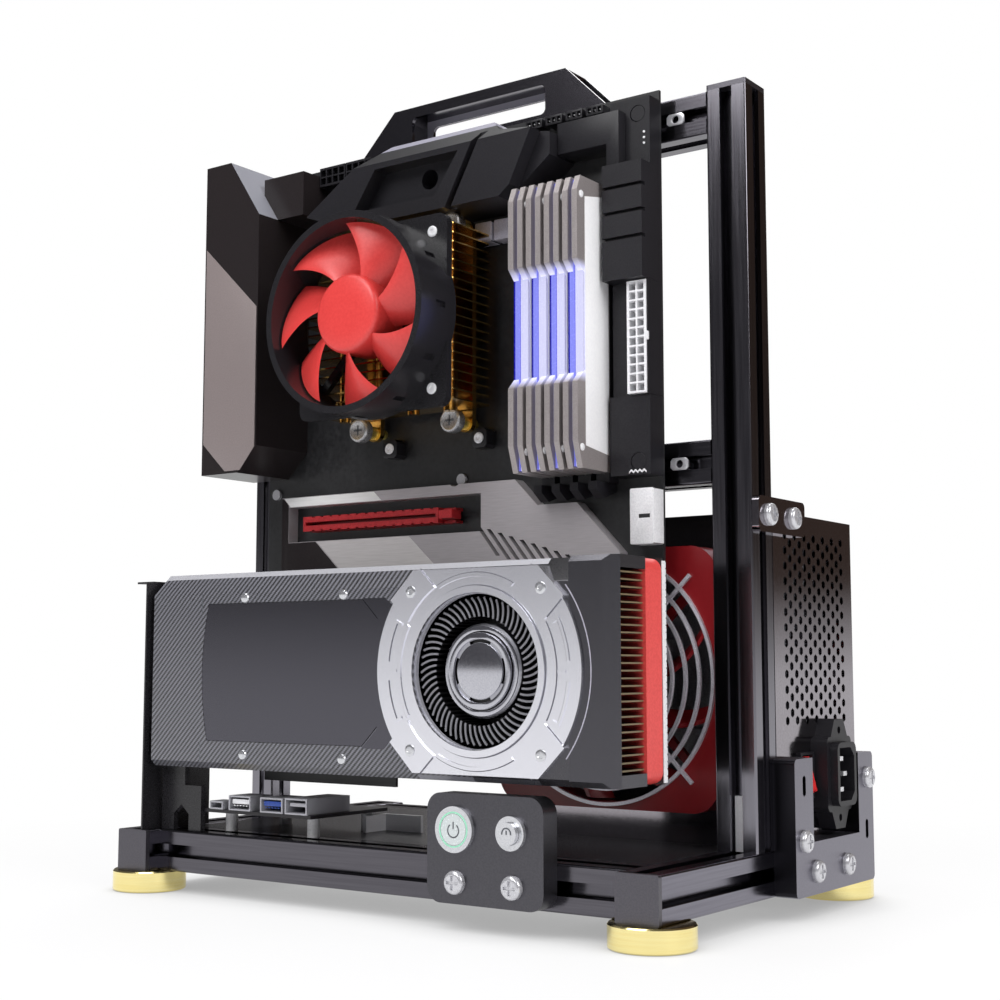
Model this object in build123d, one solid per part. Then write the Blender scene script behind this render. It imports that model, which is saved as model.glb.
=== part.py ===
"""Open air test bench: a slotted aluminium frame that carries a complete vertical computer.

Millimetres, +Z up, +X towards the power supply's inlet, -Y towards the buttons.
Shapes are drawn about the middle of the base and moved at export, so that the origin
is on the floor under the middle of the whole bench.
"""
import os
from math import cos, radians, sin

from build123d import *

# Slotted frame members
profile = 20.0
slot_opening = 6.2
slot_lip = 1.8
slot_cavity = 11.0
slot_shoulder = 1.4
slot_depth = 6.0
core_bore = 5.0
edge_round = 1.0
end_cap = 2.5
peg_clearance = 0.1
front_rail_setback = 9.0
post_setback = 85.0
post_height = 346.0
left_profile = 15.0
left_slot_opening = 3.4
left_slot_lip = 1.2
left_slot_cavity = 6.0
left_slot_depth = 4.0
left_core_bore = 3.2
left_post_inset = 8.0
base_plate_thickness = 3.0

# Feet, handle and loose frame hardware
foot_diameter = 36.0
foot_height = 10.0
foot_setback = 12.0
foot_chamfer = 0.6
handle_sheet = 2.0
handle_offset = 4.0
handle_top_width = 108.0
handle_height = 28.5
handle_knee = 4.0
grip_width = 84.0
grip_height = 15.0
grip_round = 3.0
grip_drop = 3.56
handle_foot = 14.0
handle_hole = 5.2
angle_long = 24.0
angle_short = 17.0
angle_height = 8.0
angle_sheet = 2.0
angle_inset = 93.0
angle_setback = 26.0
strip_length = 24.0
strip_thickness = 1.6
strip_clearance = 0.3

# Button panel
plate_width = 60.0
plate_height = 46.0
plate_depth = 10.0
plate_round = 7.0
plate_inset = 83.0
plate_lift = 1.0
button_height = 31.0
power_offset = -14.7
reset_offset = 14.3
power_head = 19.4
power_barrel = 16.0
power_cap = 13.0
reset_head = 14.2
reset_barrel = 11.8
reset_cap = 9.4
head_height = 1.8
cap_height = 2.2
button_travel = 1.5
button_clearance = 0.1
button_barrel_length = 9.0
button_floor = 1.0
button_end_gap = 1.0
button_neck = 6.0
plate_screw_offset = 14.7

# Pan head screws of the frame
screw_head = 10.0
screw_head_height = 2.8
screw_head_round = 1.7
screw_cross = 6.0
screw_cross_width = 1.4
screw_cross_depth = 0.8
screw_shank = 5.0
screw_hole_clearance = 0.2
screw_reach = 4.0

# Power supply
psu_length = 140.0
psu_depth = 86.0
psu_height = 150.0
psu_wall = 1.2
psu_rear_margin = 9.0
psu_fan_size = 120.0
psu_fan_depth = 14.0
psu_fan_round = 14.0
psu_fan_rim = 3.0
psu_fan_hub = 21.0
psu_fan_blades = 9
psu_fan_chord = 10.0
psu_fan_pitch = 32.0
psu_fan_sweep = 26.0
psu_fan_gap = 1.0
psu_rotor_inset = 1.0
psu_rotor_gap = 0.5
guard_wire = 1.6
guard_rings = 6
guard_overlap = 9.0
guard_hub_gap = 2.0
guard_rim_overlap = 1.0
vent_columns = 13
vent_rows = 25
vent_width = 62.0
vent_height = 84.0
vent_top_margin = 10.0
vent_hole = 4.2
vent_rear_margin = 12.0
psu_plate_height = 60.0
psu_plate_thickness = 5.3
psu_spacer_thickness = 5.3
psu_plate_round = 2.5
arm_front = 18.6
arm_rear = 17.0
notch_switch_gap = 5.55
notch_inlet_gap = 2.1
notch_floor_gap = 3.0
front_arm_screw = 9.0
rear_arm_screw = 7.0
front_arm_oval = 9.5
rear_arm_oval = 8.0
arm_hole_low = 24.0
arm_hole_high = 48.0
rail_screw_first = 21.0
rail_screw_step = 33.0
oval_length = 9.0
oval_width = 3.2
bracket_height = 16.0
bracket_length = 47.0
bracket_thickness = 3.3
bracket_rise = 5.5
bracket_rear_screw = 14.5
circuit_thickness = 1.6
circuit_margin = 4.2
circuit_right_margin = 22.0
circuit_leg = 5.0
circuit_leg_length = 4.4
circuit_leg_inset = 12.0
# Blocks on the circuit: left, width, bottom, height and how far they stand out
circuit_blocks = (
    (20.0, 30.0, 60.0, 34.0, 40.0),
    (64.0, 26.0, 20.0, 30.0, 34.0),
    (14.0, 6.0, 16.0, 110.0, 52.0),
    (100.0, 6.0, 16.0, 100.0, 52.0),
)

# Mains inlet and switch
inlet_back_from_front = 49.0
inlet_height_above_rail = 31.0
inlet_ear_length = 50.0
inlet_ear_pitch = 40.0
inlet_ear_width = 10.0
inlet_ear_hole = 3.4
inlet_waist = 18.0
inlet_flange_width = 27.0
inlet_flange_height = 34.0
inlet_flange_depth = 8.2
inlet_flange_round = 3.0
inlet_rim_width = 21.0
inlet_rim_height = 29.0
inlet_rim_depth = 3.8
inlet_rim_round = 4.0
inlet_fit = 0.5
inlet_socket_width = 16.2
inlet_socket_height = 24.2
inlet_socket_depth = 10.0
inlet_socket_cut = 4.0
inlet_pin_width = 2.0
inlet_pin_thickness = 4.0
inlet_pin_offset = 7.0
inlet_pin_step = 2.0
inlet_pin_setback = 2.0
switch_inlet_gap = 1.25
switch_width = 14.5
switch_height = 21.0
switch_bezel = 2.4
switch_lip = 1.0
switch_fit = 0.2
switch_floor = 1.5
switch_body_depth = 12.0
rocker_width = 9.6
rocker_height = 17.0
rocker_tilt = 14.0
rocker_proud = 1.6
rocker_root = 3.4
rocker_root_cut = 2.1
rocker_clearance = 0.4
rocker_pin = 1.5
rocker_pin_clearance = 0.06
rocker_pin_depth = 1.0

# Main board
board_width = 244.0
board_height = 305.0
board_thickness = 1.6
board_left_margin = 26.0
board_right_margin = 40.0
board_row_step = 161.5
board_hole_inset = 6.35
board_hole_step = 124.46
board_hole = 3.8
board_head = 5.6
board_head_height = 1.6
board_head_room = 4.0
board_head_pocket = 3.0
standoff_length = 6.4
standoff_flats = 5.0
choke_size = 10.0
choke_height = 8.0
choke_count = 3
choke_pitch = 11.5
choke_memory_gap = 6.0
choke_drop = 4.0
header_width = 12.0
header_length = 25.0
header_height = 9.0
header_gap = 6.0

# Cover over the rear connectors, and the connectors
shroud_height = 39.0
shroud_width = 39.0
shroud_length = 166.0
shroud_overhang = 12.0
shroud_wall = 2.0
shroud_top = 18.0
shroud_slope = 31.2
shroud_cut = 13.3
wing_width = 18.0
wing_drop = 8.0
wing_root = 10.0
wing_setback = 14.0
port_plate = 1.0
port_stacks = 4
port_first = 8.0
port_end = 15.0
port_gap = 4.0
port_depth = 20.0
port_height = 30.0
port_shell = 1.0
port_width = 13.6
port_mouth = 5.6
port_spacing = 7.9
port_tongue = 1.9
port_tongue_margin = 1.5
port_mouth_depth = 9.0
network_width = 12.0
network_height = 9.0
jack_block = 29.0
jack_pitch = 9.4
jack_bore = 3.6

# Regulator heat sink
heatsink_socket_lead = 5.5
heatsink_past_memory = 10.0
heatsink_drop = 4.0
heatsink_band = 41.0
heatsink_height = 29.0
heatsink_left_rise = 10.0
heatsink_left_cut = 26.0
heatsink_step = 12.0
heatsink_slant = 18.0
heatsink_socket_gap = 0.3
heatsink_ramp = 34.0
heatsink_ramp_length = 8.0
heatsink_ramp_drop = 7.0
heatsink_cut_width = 24.0
heatsink_cut_height = 18.0
heatsink_crown = 11.0
recess_inset = 46.0
recess_width = 52.0
recess_lean = 14.0
recess_drop = 14.0
recess_height = 20.0
recess_depth = 9.0
sink_bore = 10.0
sink_bore_inset = 74.0
sink_bore_drop = 22.0
sink_bore_floor = 4.0
groove_lean = 22.0
groove_width = 4.0
groove_depth = 5.0
facet_width = 20.0
facet_depth = 8.0

# Edge cover and power sockets
cover_width = 21.0
cover_height = 17.0
cover_top_drop = 5.0
cover_length = 175.0
cover_step_drop = 32.0
cover_step_height = 9.0
cover_side_height = 8.0
cover_low_height = 11.0
cover_socket_gap = 0.6
cover_groove = 1.6
cover_groove_depth = 3.0
cover_groove_first = 11.0
cover_groove_pitch = 12.0
cover_groove_count = 3
main_socket_width = 10.0
main_socket_length = 51.6
main_socket_height = 13.0
main_socket_drop = 91.7
main_socket_inset = 0.6
socket_cell = 3.4
socket_pitch = 4.2
socket_cell_depth = 8.0
cpu_socket_length = 17.4
cpu_socket_pitch = 18.0
cpu_socket_width = 10.0
cpu_socket_drop = 4.0
cpu_socket_gap = 0.5
cpu_socket_count = 2

# Chipset cover and expansion slot
chip_inset = 16.0
chip_hole_gap = 3.0
chip_cover_height = 7.0
chip_height = 82.0
chip_width = 209.0
chip_top = 151.0
chip_bevel = 13.0
chip_shelf = 22.0
chip_fall = 24.0
chip_window_left = 14.0
chip_window_right = 12.0
chip_window_top = 6.0
chip_window_bottom = 5.0
chip_vents = 9
chip_vent_pitch = 6.4
chip_vent_fall = 2.0
chip_vent_inset = 9.0
chip_vent_drop = 36.0
chip_vent_width = 2.4
chip_vent_lean = 12.0
chip_vent_length = 15.0
slot_length = 89.0
slot_width = 7.5
slot_height = 11.0
slot_inset = 35.0
slot_row_drop = 18.0
slot_groove = 1.8
slot_margin = 1.6
slot_floor = 3.0
slot_ribs = 14
slot_rib_pitch = 6.0
slot_rib_gap = 1.8
slot_rib_depth = 0.6
latch_length = 10.0
latch_gap = 1.0
latch_pin = 1.2
latch_pin_inset = 3.0
latch_pin_height = 3.0
latch_ear = 1.4
latch_ear_length = 6.0
latch_ear_height = 6.0
latch_side_gap = 0.3
latch_foot_gap = 1.2
latch_foot = 5.0
latch_heel = 7.0
latch_hook = 2.0
latch_rise = 3.5
latch_pin_clearance = 0.06

# Memory
memory_count = 4
memory_pitch = 10.0
memory_cover_gap = 2.0
memory_length = 133.35
memory_reach = 35.0
memory_rise = 0.6
memory_thickness = 8.0
memory_bar = 2.2
memory_bar_recess = 4.6
memory_bar_depth = 9.0
memory_bar_end = 1.0
memory_bridge = 12.0
memory_card = 1.4
memory_socket_height = 8.0
memory_socket_width = 7.0
memory_socket_end = 4.3
memory_key = 2.0
memory_key_gap = 0.3
memory_seat = 3.0
memory_seat_gap = 0.2
memory_waist = 56.0
memory_waist_depth = 6.0
memory_lens_recess = 4.8
memory_low_cut = 4.0
memory_low_slope = 12.0
memory_high_cut = 3.0
memory_high_slope = 7.0
memory_latch = 17.0
memory_latch_heel = 11.0
memory_latch_width = 4.4
memory_latch_step = 3.5
memory_latch_drop = 7.5
memory_latch_foot = 4.0

# Processor cooler
cooler_inset = 109.0
cooler_heatsink_gap = 0.9
cooler_lift = 10.0
cooler_fan_depth = 26.0
cooler_fin_depth = 31.0
cooler_fin_width = 92.0
cooler_fin_round = 2.0
cooler_fin_count = 20
cooler_fin_pitch = 4.4
cooler_fin_thickness = 0.7
cooler_ring = 97.0
cooler_ring_wall = 3.4
cooler_flange = 92.0
cooler_flange_round = 5.0
cooler_flange_thickness = 4.0
cooler_ear_pitch = 75.0
cooler_ear_hole = 4.3
cooler_hub = 19.5
cooler_boss = 17.5
cooler_blades = 7
cooler_chord = 20.0
cooler_pitch = 40.0
cooler_sweep = 24.0
cooler_rotor_inset = 3.0
cooler_rotor_gap = 1.5
cooler_notches = 12
cooler_notch = 3.0
cooler_notch_length = 7.0
cooler_notch_setback = 14.3
cooler_base_size = 44.0
cooler_pipe = 6.0
cooler_pipe_pitch = 22.0
cooler_pipe_count = 4
cooler_pipe_end = 3.0
cooler_screw_x = 58.0
cooler_screw_gap = 1.75
cooler_screw_head = 9.2
cooler_screw_head_depth = 5.0
cooler_screw_barrel = 6.6
cooler_screw_height = 20.0
cooler_screw_cross = 5.0
cooler_screw_cross_width = 1.2
cooler_screw_cross_depth = 1.4
cooler_arm = 9.0
cooler_arm_thickness = 3.0
cooler_arm_setback = 2.0

# Fan bearings and blades
fan_shaft = 3.0
shaft_clearance = 0.05
shaft_end_gap = 0.5
blade_clearance = 1.0
blade_thickness = 1.6
blade_root = 1.5
blade_twist = 8.0
strut_width = 4.0
strut_thickness = 3.0
psu_boss = 18.0

# Graphics card
card_inset = 19.0
card_length = 270.0
card_setback = 3.0
card_panel_gap = 4.5
card_height = 94.5
card_shroud_depth = 38.0
card_cap_depth = 25.0
card_cap_length = 22.0
card_cap_bevel = 6.0
card_cap_bevel_depth = 5.0
card_cap_chamfer = 2.5
card_wall = 2.0
card_top_chamfer = 10.5
card_bottom_chamfer = 3.0
card_board_thickness = 1.6
card_back_thickness = 2.0
card_back_margin = 2.0
card_base_thickness = 3.0
card_base_gap = 0.2
card_fan_inset = 69.0
card_fan_drop = 0.25
card_fan_opening = 66.0
card_fan_hub = 40.6
hub_cap = 33.0
hub_cap_rise = 1.2
hub_chamfer = 1.0
hub_slot_radius = 12.9
hub_slot_width = 1.4
hub_slot_angle = 50.0
hub_slot_depth = 1.4
card_blade_count = 60
card_blade_thickness = 0.9
card_blade_gap = 3.0
card_impeller_gap = 1.4
card_impeller_setback = 2.0
card_impeller_back = 14.0
card_impeller_disc = 1.6
card_hub_setback = 2.0
card_bearing = 18.0
card_bearing_gap = 1.0
window_inset = 39.0
window_fan_gap = 55.0
window_bottom_rise = 13.5
window_top_margin = 15.5
window_corner = 9.0
window_bow = 4.0
window_recess = 1.0
window_gap = 0.3
card_vent_depth = 20.0
card_vent_height = 84.0
card_vent_inset = 3.0
card_fin_count = 27
card_fin_thickness = 0.7
card_fin_setback = 1.5
card_fin_front_gap = 1.0
band_round = 5.0
card_tab_length = 85.0
card_tab_inset = 41.0
card_tab_height = 7.5
card_bracket_sheet = 1.0
card_bracket_gap = 3.0
card_bracket_drop = 4.0
card_bracket_front = 2.0
card_bracket_rear = 5.0
card_flange = 11.0
card_flange_setback = 4.0
bracket_lug = 8.0
bracket_lug_low = 6.0
bracket_lug_high = 24.0
bracket_lug_setback = 6.0
bracket_slots = 6
bracket_slot = 4.0
bracket_slot_pitch = 7.5
bracket_slot_first = 22.0
bracket_slot_rear = 22.0
support_width = 27.5
support_height = 22.0
support_thickness = 3.0
support_setback = 3.0
support_inset = 18.0
support_tab = 16.0
support_notch = 10.5
support_notch_inset = 8.5
support_notch_side = 8.0
support_notch_peak = 12.5

# Cast surround of the card's fan
surround_gap = 0.5
surround_lip_width = 2.9
surround_lip_rise = 1.2
surround_ring_width = 5.6
surround_rim = 1.6
surround_rim_rise = 0.5
surround_rim_gap = 1.0
surround_arc_width = 12.0
surround_arc_height = 66.0
surround_rise = 1.2
surround_margin = 3.25
surround_plate = 64.0
surround_block = 21.0
surround_block_length = 12.5
surround_block_rise = 0.8
ridge_width = 1.2
ridge_rise = 0.5
ridge_inset = 5.5
ridge_return = 4.0
ridge_first = 5.0
ridge_last = 27.0

# Front port board
ports_inset = 46.0
ports_width = 70.0
ports_depth = 56.0
ports_setback = 14.0
ports_rise = 9.5
ports_thickness = 1.6
ports_leg = 6.0
ports_leg_inset = 8.0
ports_leg_front = 11.0
ports_leg_rear = 6.0
port_shell_wall = 0.8
port_shell_back = 3.0
port_shell_proud = 0.5
port_blade = 1.6
port_blade_inset = 2.0
port_blade_setback = 1.0
# Shells on the port board: left, width, height, depth and whether a tongue stands inside
port_shells = (
    (4.0, 9.0, 4.0, 9.0, False),
    (17.0, 14.5, 7.2, 14.0, True),
    (38.0, 14.5, 7.2, 17.0, True),
    (54.0, 14.0, 7.6, 30.0, True),
)


def span(x, y, z):
    """Box between two limits on each axis."""
    size = Box(x[1] - x[0], y[1] - y[0], z[1] - z[0])
    return Pos((x[0] + x[1]) / 2, (y[0] + y[1]) / 2, (z[0] + z[1]) / 2) * size


def front_plane(y):
    """Plane seen from the front, with sketch axes X and Z."""
    return Plane(origin=(0, y, 0), x_dir=(1, 0, 0), z_dir=(0, -1, 0))


def side_plane(x):
    """Plane seen from the right, with sketch axes Y and Z."""
    return Plane(origin=(x, 0, 0), x_dir=(0, 1, 0), z_dir=(1, 0, 0))


def from_front(sketch, y_front, depth):
    """Push a front view back along +Y."""
    return extrude(front_plane(y_front) * sketch, depth, dir=(0, 1, 0))


def from_right(sketch, x_left, depth):
    """Push a right view out along +X."""
    return extrude(side_plane(x_left) * sketch, depth, dir=(1, 0, 0))


def from_below(sketch, z_low, height):
    """Push a plan up along +Z."""
    return extrude(Pos(0, 0, z_low) * sketch, height, dir=(0, 0, 1))


def disc(x, z, radius, y_front, depth):
    """Cylinder along Y."""
    return from_front(Pos(x, z) * Circle(radius), y_front, depth)


def outline_of(*points):
    """Closed flat outline through the given corners."""
    return Polygon(*points, align=None)


def corners(width, height):
    """Centres of the four corners of a rectangle."""
    return [(sx * width / 2, sz * height / 2) for sx in (-1, 1) for sz in (-1, 1)]


# The base is as wide as the main board and its margins, and as deep as what stands on it
base_width = board_left_margin + board_width + board_right_margin
base_depth = post_setback + profile + psu_depth + psu_rear_margin
right_face = base_width / 2
front_end = -base_depth / 2
rail_bottom = foot_height
rail_top = rail_bottom + profile
rail_middle = rail_bottom + profile / 2
post_top = rail_top + post_height
post_front = front_end + post_setback
post_back = post_front + profile
post_inner = right_face - profile
left_post_x = (-right_face + left_post_inset, -right_face + left_post_inset + left_profile)
top_bar_z = post_top - end_cap - profile
middle_bar_z = top_bar_z - board_row_step
front_rail_face = front_end + front_rail_setback
floor_x = (-right_face + profile, right_face - profile)
floor_y = (front_rail_face + profile, -front_rail_face - profile)


def slotted_section(size, opening, lip, cavity, depth, bore):
    """Square section with a T-slot in each side and a bore through the core."""
    half = size / 2
    side = [(opening / 2, half), (opening / 2, half - lip), (cavity / 2, half - lip)]
    side += [(cavity / 2, half - lip - slot_shoulder), (opening / 2, half - depth)]
    slot = outline_of(*side, *[(-x, y) for x, y in reversed(side)])
    section = RectangleRounded(size, size, edge_round) - Circle(bore / 2)
    return section - [Rot(0, 0, turn) * slot for turn in (0, 90, 180, 270)]


def member(length, axis):
    """Slotted member centred on the origin along one axis."""
    section = slotted_section(profile, slot_opening, slot_lip, slot_cavity, slot_depth, core_bore)
    bar = from_below(section, -length / 2, length)
    turn = {"x": Rot(0, 90, 0), "y": Rot(90, 0, 0), "z": Rot(0, 0, 0)}[axis]
    return turn * bar


def frame_members():
    """Base rails, posts and crossbars."""
    rail_x = right_face - profile / 2
    side_length = base_depth - 2 * end_cap
    rail_span = base_width - 2 * profile
    front_y = front_rail_face + profile / 2
    nodes = {
        "side_rail_left": Pos(-rail_x, 0, rail_middle) * member(side_length, "y"),
        "side_rail_right": Pos(rail_x, 0, rail_middle) * member(side_length, "y"),
        "front_rail": Pos(0, front_y, rail_middle) * member(rail_span, "x"),
        "rear_rail": Pos(0, -front_y, rail_middle) * member(rail_span, "x"),
    }
    upright = post_height - end_cap
    upright_z = rail_top + upright / 2
    nodes["post_right"] = Pos(rail_x, post_front + profile / 2, upright_z) * member(upright, "z")
    left_section = slotted_section(
        left_profile, left_slot_opening, left_slot_lip, left_slot_cavity, left_slot_depth, left_core_bore
    )
    left_centre = Pos(sum(left_post_x) / 2, post_front + left_profile / 2, rail_top)
    nodes["post_left"] = left_centre * from_below(left_section, 0, upright)
    bar_length = post_inner - left_post_x[1]
    bar_x = (post_inner + left_post_x[1]) / 2
    for name, bottom in (("crossbar_top", top_bar_z), ("crossbar_middle", middle_bar_z)):
        nodes[name] = Pos(bar_x, post_front + profile / 2, bottom + profile / 2) * member(bar_length, "x")
    return nodes


def end_caps():
    """Moulded caps on the open ends, each with a peg in the core bore."""
    def cap(size, bore):
        plate = from_below(RectangleRounded(size, size, edge_round), 0, end_cap)
        peg = Pos(0, 0, -end_cap) * Cylinder(bore / 2 - peg_clearance, 2 * end_cap)
        return plate + peg
    rail_x = right_face - profile / 2
    caps = []
    for x in (-rail_x, rail_x):
        caps.append(Pos(x, front_end + end_cap, rail_middle) * Rot(90, 0, 0) * cap(profile, core_bore))
        caps.append(Pos(x, -front_end - end_cap, rail_middle) * Rot(-90, 0, 0) * cap(profile, core_bore))
    cap_z = post_top - end_cap
    caps.append(Pos(rail_x, post_front + profile / 2, cap_z) * cap(profile, core_bore))
    left_centre = Pos(sum(left_post_x) / 2, post_front + left_profile / 2, cap_z)
    caps.append(left_centre * cap(left_profile, left_core_bore))
    return Compound(caps)


def feet():
    """Turned feet under the ends of the side rails."""
    turned = Cylinder(foot_diameter / 2, foot_height)
    turned = chamfer(turned.edges(), foot_chamfer)
    foot_x = right_face - profile / 2
    foot_y = -front_end - foot_setback
    return Compound([Pos(x, y, foot_height / 2) * turned for x, y in corners(2 * foot_x, 2 * foot_y)])


def base_plate():
    """Floor panel between the four rails, flush with their tops."""
    return span(floor_x, floor_y, (rail_top - base_plate_thickness, rail_top))


def handle():
    """Folded carrying handle: two plates joined along the top, with a finger slot and bolted feet."""
    foot_z = top_bar_z + profile
    top_z = foot_z + handle_height
    half_top = handle_top_width / 2
    half_foot = half_top + handle_height - handle_knee
    half = [(half_top, top_z), (half_foot, foot_z + handle_knee), (half_foot, foot_z)]
    grip_z = top_z - handle_sheet - grip_drop - grip_height / 2
    grip = Pos(0, grip_z) * RectangleRounded(grip_width, grip_height, grip_round)
    plate = outline_of(*half, *[(-x, z) for x, z in reversed(half)]) - grip
    shape = from_front(plate, post_front, handle_sheet)
    shape += from_front(plate, post_back - handle_sheet, handle_sheet)
    inner_y = (post_front + handle_sheet, post_back - handle_sheet)
    shape += span((-half_top, half_top), inner_y, (top_z - handle_sheet, top_z))
    for side in (-1, 1):
        inner_x = side * (half_foot - handle_foot)
        limits = (min(inner_x, side * half_foot), max(inner_x, side * half_foot))
        foot = span(limits, inner_y, (foot_z, foot_z + handle_sheet))
        hole = Pos(sum(limits) / 2, sum(inner_y) / 2, foot_z) * Cylinder(handle_hole / 2, 3 * handle_sheet)
        shape += foot - hole
    return Pos(handle_offset, 0, 0) * shape


def corner_brackets():
    """Bright angle on the base plate and the bright strip in the post's front slot."""
    left = floor_x[0] + angle_inset
    front = floor_y[0] + angle_setback
    plan = outline_of(
        (left, front), (left + angle_sheet, front), (left + angle_sheet, front + angle_short - angle_sheet),
        (left + angle_long, front + angle_short - angle_sheet), (left + angle_long, front + angle_short),
        (left, front + angle_short),
    )
    strip_half = slot_opening / 2 - strip_clearance
    strip_x = right_face - profile / 2
    strip_y = post_front + slot_depth - strip_thickness
    strip = span(
        (strip_x - strip_half, strip_x + strip_half),
        (strip_y, strip_y + strip_thickness),
        (rail_top, rail_top + strip_length),
    )
    return Compound([from_below(plan, rail_top, angle_height), strip])


# Button panel places
plate_centre = right_face - plate_inset
panel_front = front_rail_face - plate_depth
panel_bottom = rail_bottom + plate_lift
panel_top = panel_bottom + plate_height
button_z = panel_bottom + button_height
power_x = plate_centre + power_offset
reset_x = plate_centre + reset_offset
button_well = head_height + button_barrel_length - button_floor
buttons = (
    (power_x, power_head, power_barrel, power_cap),
    (reset_x, reset_head, reset_barrel, reset_cap),
)


def button_plate():
    """Thick panel screwed to the front rail, bored for the two buttons."""
    middle = (panel_bottom + panel_top) / 2
    outline = Pos(plate_centre, middle) * RectangleRounded(plate_width, plate_height, plate_round)
    plate = from_front(outline, panel_front, plate_depth)
    for x, head, barrel, cap in buttons:
        plate -= disc(x, button_z, barrel / 2 + button_clearance, panel_front, plate_depth)
    for side in (-1, 1):
        x = plate_centre + side * plate_screw_offset
        plate -= disc(x, rail_middle, screw_shank / 2 + screw_hole_clearance, panel_front, plate_depth)
    return plate


def button_bodies():
    """Metal button barrels with a bezel in front of the panel."""
    bodies = []
    for x, head, barrel, cap in buttons:
        bezel = disc(x, button_z, head / 2, panel_front - head_height, head_height)
        body = bezel + disc(x, button_z, barrel / 2, panel_front, button_barrel_length)
        body -= disc(x, button_z, cap / 2 + button_clearance, panel_front - head_height, button_well)
        body += disc(x, button_z, barrel / 2, panel_front + button_barrel_length, button_neck)
        bodies.append(body)
    return Compound(bodies)


def button_cap(x, cap, raised):
    """Moving centre of a button, with room to travel inside its barrel."""
    length = raised + button_well - button_travel - button_end_gap
    return disc(x, button_z, cap / 2, panel_front - head_height - raised, length)


# Power supply places, with the notched plate fitted round the inlet and the switch
psu_x = (right_face - psu_length, right_face)
psu_y = (post_back, post_back + psu_depth)
psu_z = (rail_top, rail_top + psu_height)
psu_fan_bore = psu_fan_size / 2 - psu_fan_rim
psu_fan_x = post_inner - psu_fan_gap - psu_fan_size / 2
psu_fan_z = sum(psu_z) / 2
psu_fan_front = psu_y[0] - psu_fan_depth
inlet_y = psu_y[0] + inlet_back_from_front
inlet_z = rail_top + inlet_height_above_rail
inlet_face = right_face + inlet_flange_depth + inlet_rim_depth
switch_y = inlet_y - inlet_flange_width / 2 - switch_inlet_gap - switch_width / 2
notch_y = (
    switch_y - switch_width / 2 - notch_switch_gap,
    inlet_y + inlet_flange_width / 2 + notch_inlet_gap,
)
notch_z = inlet_z - inlet_ear_length / 2 - notch_floor_gap
plate_y = (notch_y[0] - arm_front, notch_y[1] + arm_rear)
spacer_outer = right_face + psu_spacer_thickness
plate_outer = spacer_outer + psu_plate_thickness
bracket_z = (psu_z[1] + bracket_rise - bracket_height, psu_z[1] + bracket_rise)
bracket_y = (post_front, post_front + bracket_length)
bracket_screws = (post_front + profile / 2, psu_y[0] + bracket_rear_screw)
rail_screws = (plate_y[0] + rail_screw_first, plate_y[0] + rail_screw_first + rail_screw_step)
arm_screws = (
    (plate_y[0] + front_arm_screw, rail_bottom + arm_hole_low),
    (plate_y[1] - rear_arm_screw, rail_bottom + arm_hole_high),
)
arm_ovals = (
    (plate_y[0] + front_arm_oval, rail_bottom + arm_hole_high),
    (plate_y[1] - rear_arm_oval, rail_bottom + arm_hole_low),
)


def psu_case():
    """Folded steel case with a fan opening, a perforated end and cut-outs for inlet and switch."""
    shell = span(psu_x, psu_y, psu_z)
    shell -= span(
        (psu_x[0] + psu_wall, psu_x[1] - psu_wall),
        (psu_y[0] + psu_wall, psu_y[1] - psu_wall),
        (psu_z[0] + psu_wall, psu_z[1] - psu_wall),
    )
    shell -= disc(psu_fan_x, psu_fan_z, psu_fan_bore, psu_y[0], psu_wall)
    pitch_y = vent_width / (vent_columns - 1)
    pitch_z = vent_height / (vent_rows - 1)
    first_y = psu_y[1] - vent_rear_margin - vent_width
    first_z = psu_z[1] - vent_top_margin - vent_height
    hole = Rot(0, 0, 30) * RegularPolygon(vent_hole / 2, 6)
    holes = []
    for row in range(vent_rows):
        for column in range(row % 2, vent_columns, 2):
            holes.append(Pos(first_y + column * pitch_y, first_z + row * pitch_z) * hole)
    openings = Sketch() + holes
    openings += Pos(inlet_y, inlet_z) * Rectangle(inlet_rim_width, inlet_rim_height)
    inset = 2 * switch_lip
    openings += Pos(switch_y, inlet_z) * Rectangle(switch_width - inset, switch_height - inset)
    return shell - from_right(openings, psu_x[1] - psu_wall, psu_wall)


def fan_struts(x, z, bore, boss, y, thickness):
    """Motor boss on four struts across a fan's bore."""
    frame = disc(x, z, boss, y, thickness)
    for turn in (45, 135):
        bar = Pos(x, z) * Rot(0, 0, turn) * Rectangle(2 * bore + blade_clearance, strut_width)
        frame += from_front(bar, y, thickness)
    return frame


def fan_rotor(x, z, hub, tip, y_front, depth, blades, chord, pitch_deg, sweep_deg):
    """Hub with swept blades, each lofted through three sections that turn outwards."""
    shape = disc(x, z, hub, y_front, depth)
    middle = y_front + depth / 2
    stations = ((hub - blade_root, 1.0, 0.0), ((hub + tip) / 2, 1.25, 0.45), (tip + blade_root, 1.45, 1.0))
    for number in range(blades):
        sections = []
        for radius, widen, along in stations:
            turn = radians(number * 360 / blades + sweep_deg * along)
            outward = Vector(cos(turn), 0, sin(turn))
            origin = Vector(x, middle, z) + outward * radius
            plane = Plane(origin=origin, x_dir=Vector(0, 1, 0), z_dir=outward)
            lean = pitch_deg + blade_twist * along
            sections.append(plane * Rot(0, 0, lean) * Rectangle(chord * widen, blade_thickness))
        shape += loft(sections)
    limit = disc(x, z, tip, y_front, depth)
    return shape & limit


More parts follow.
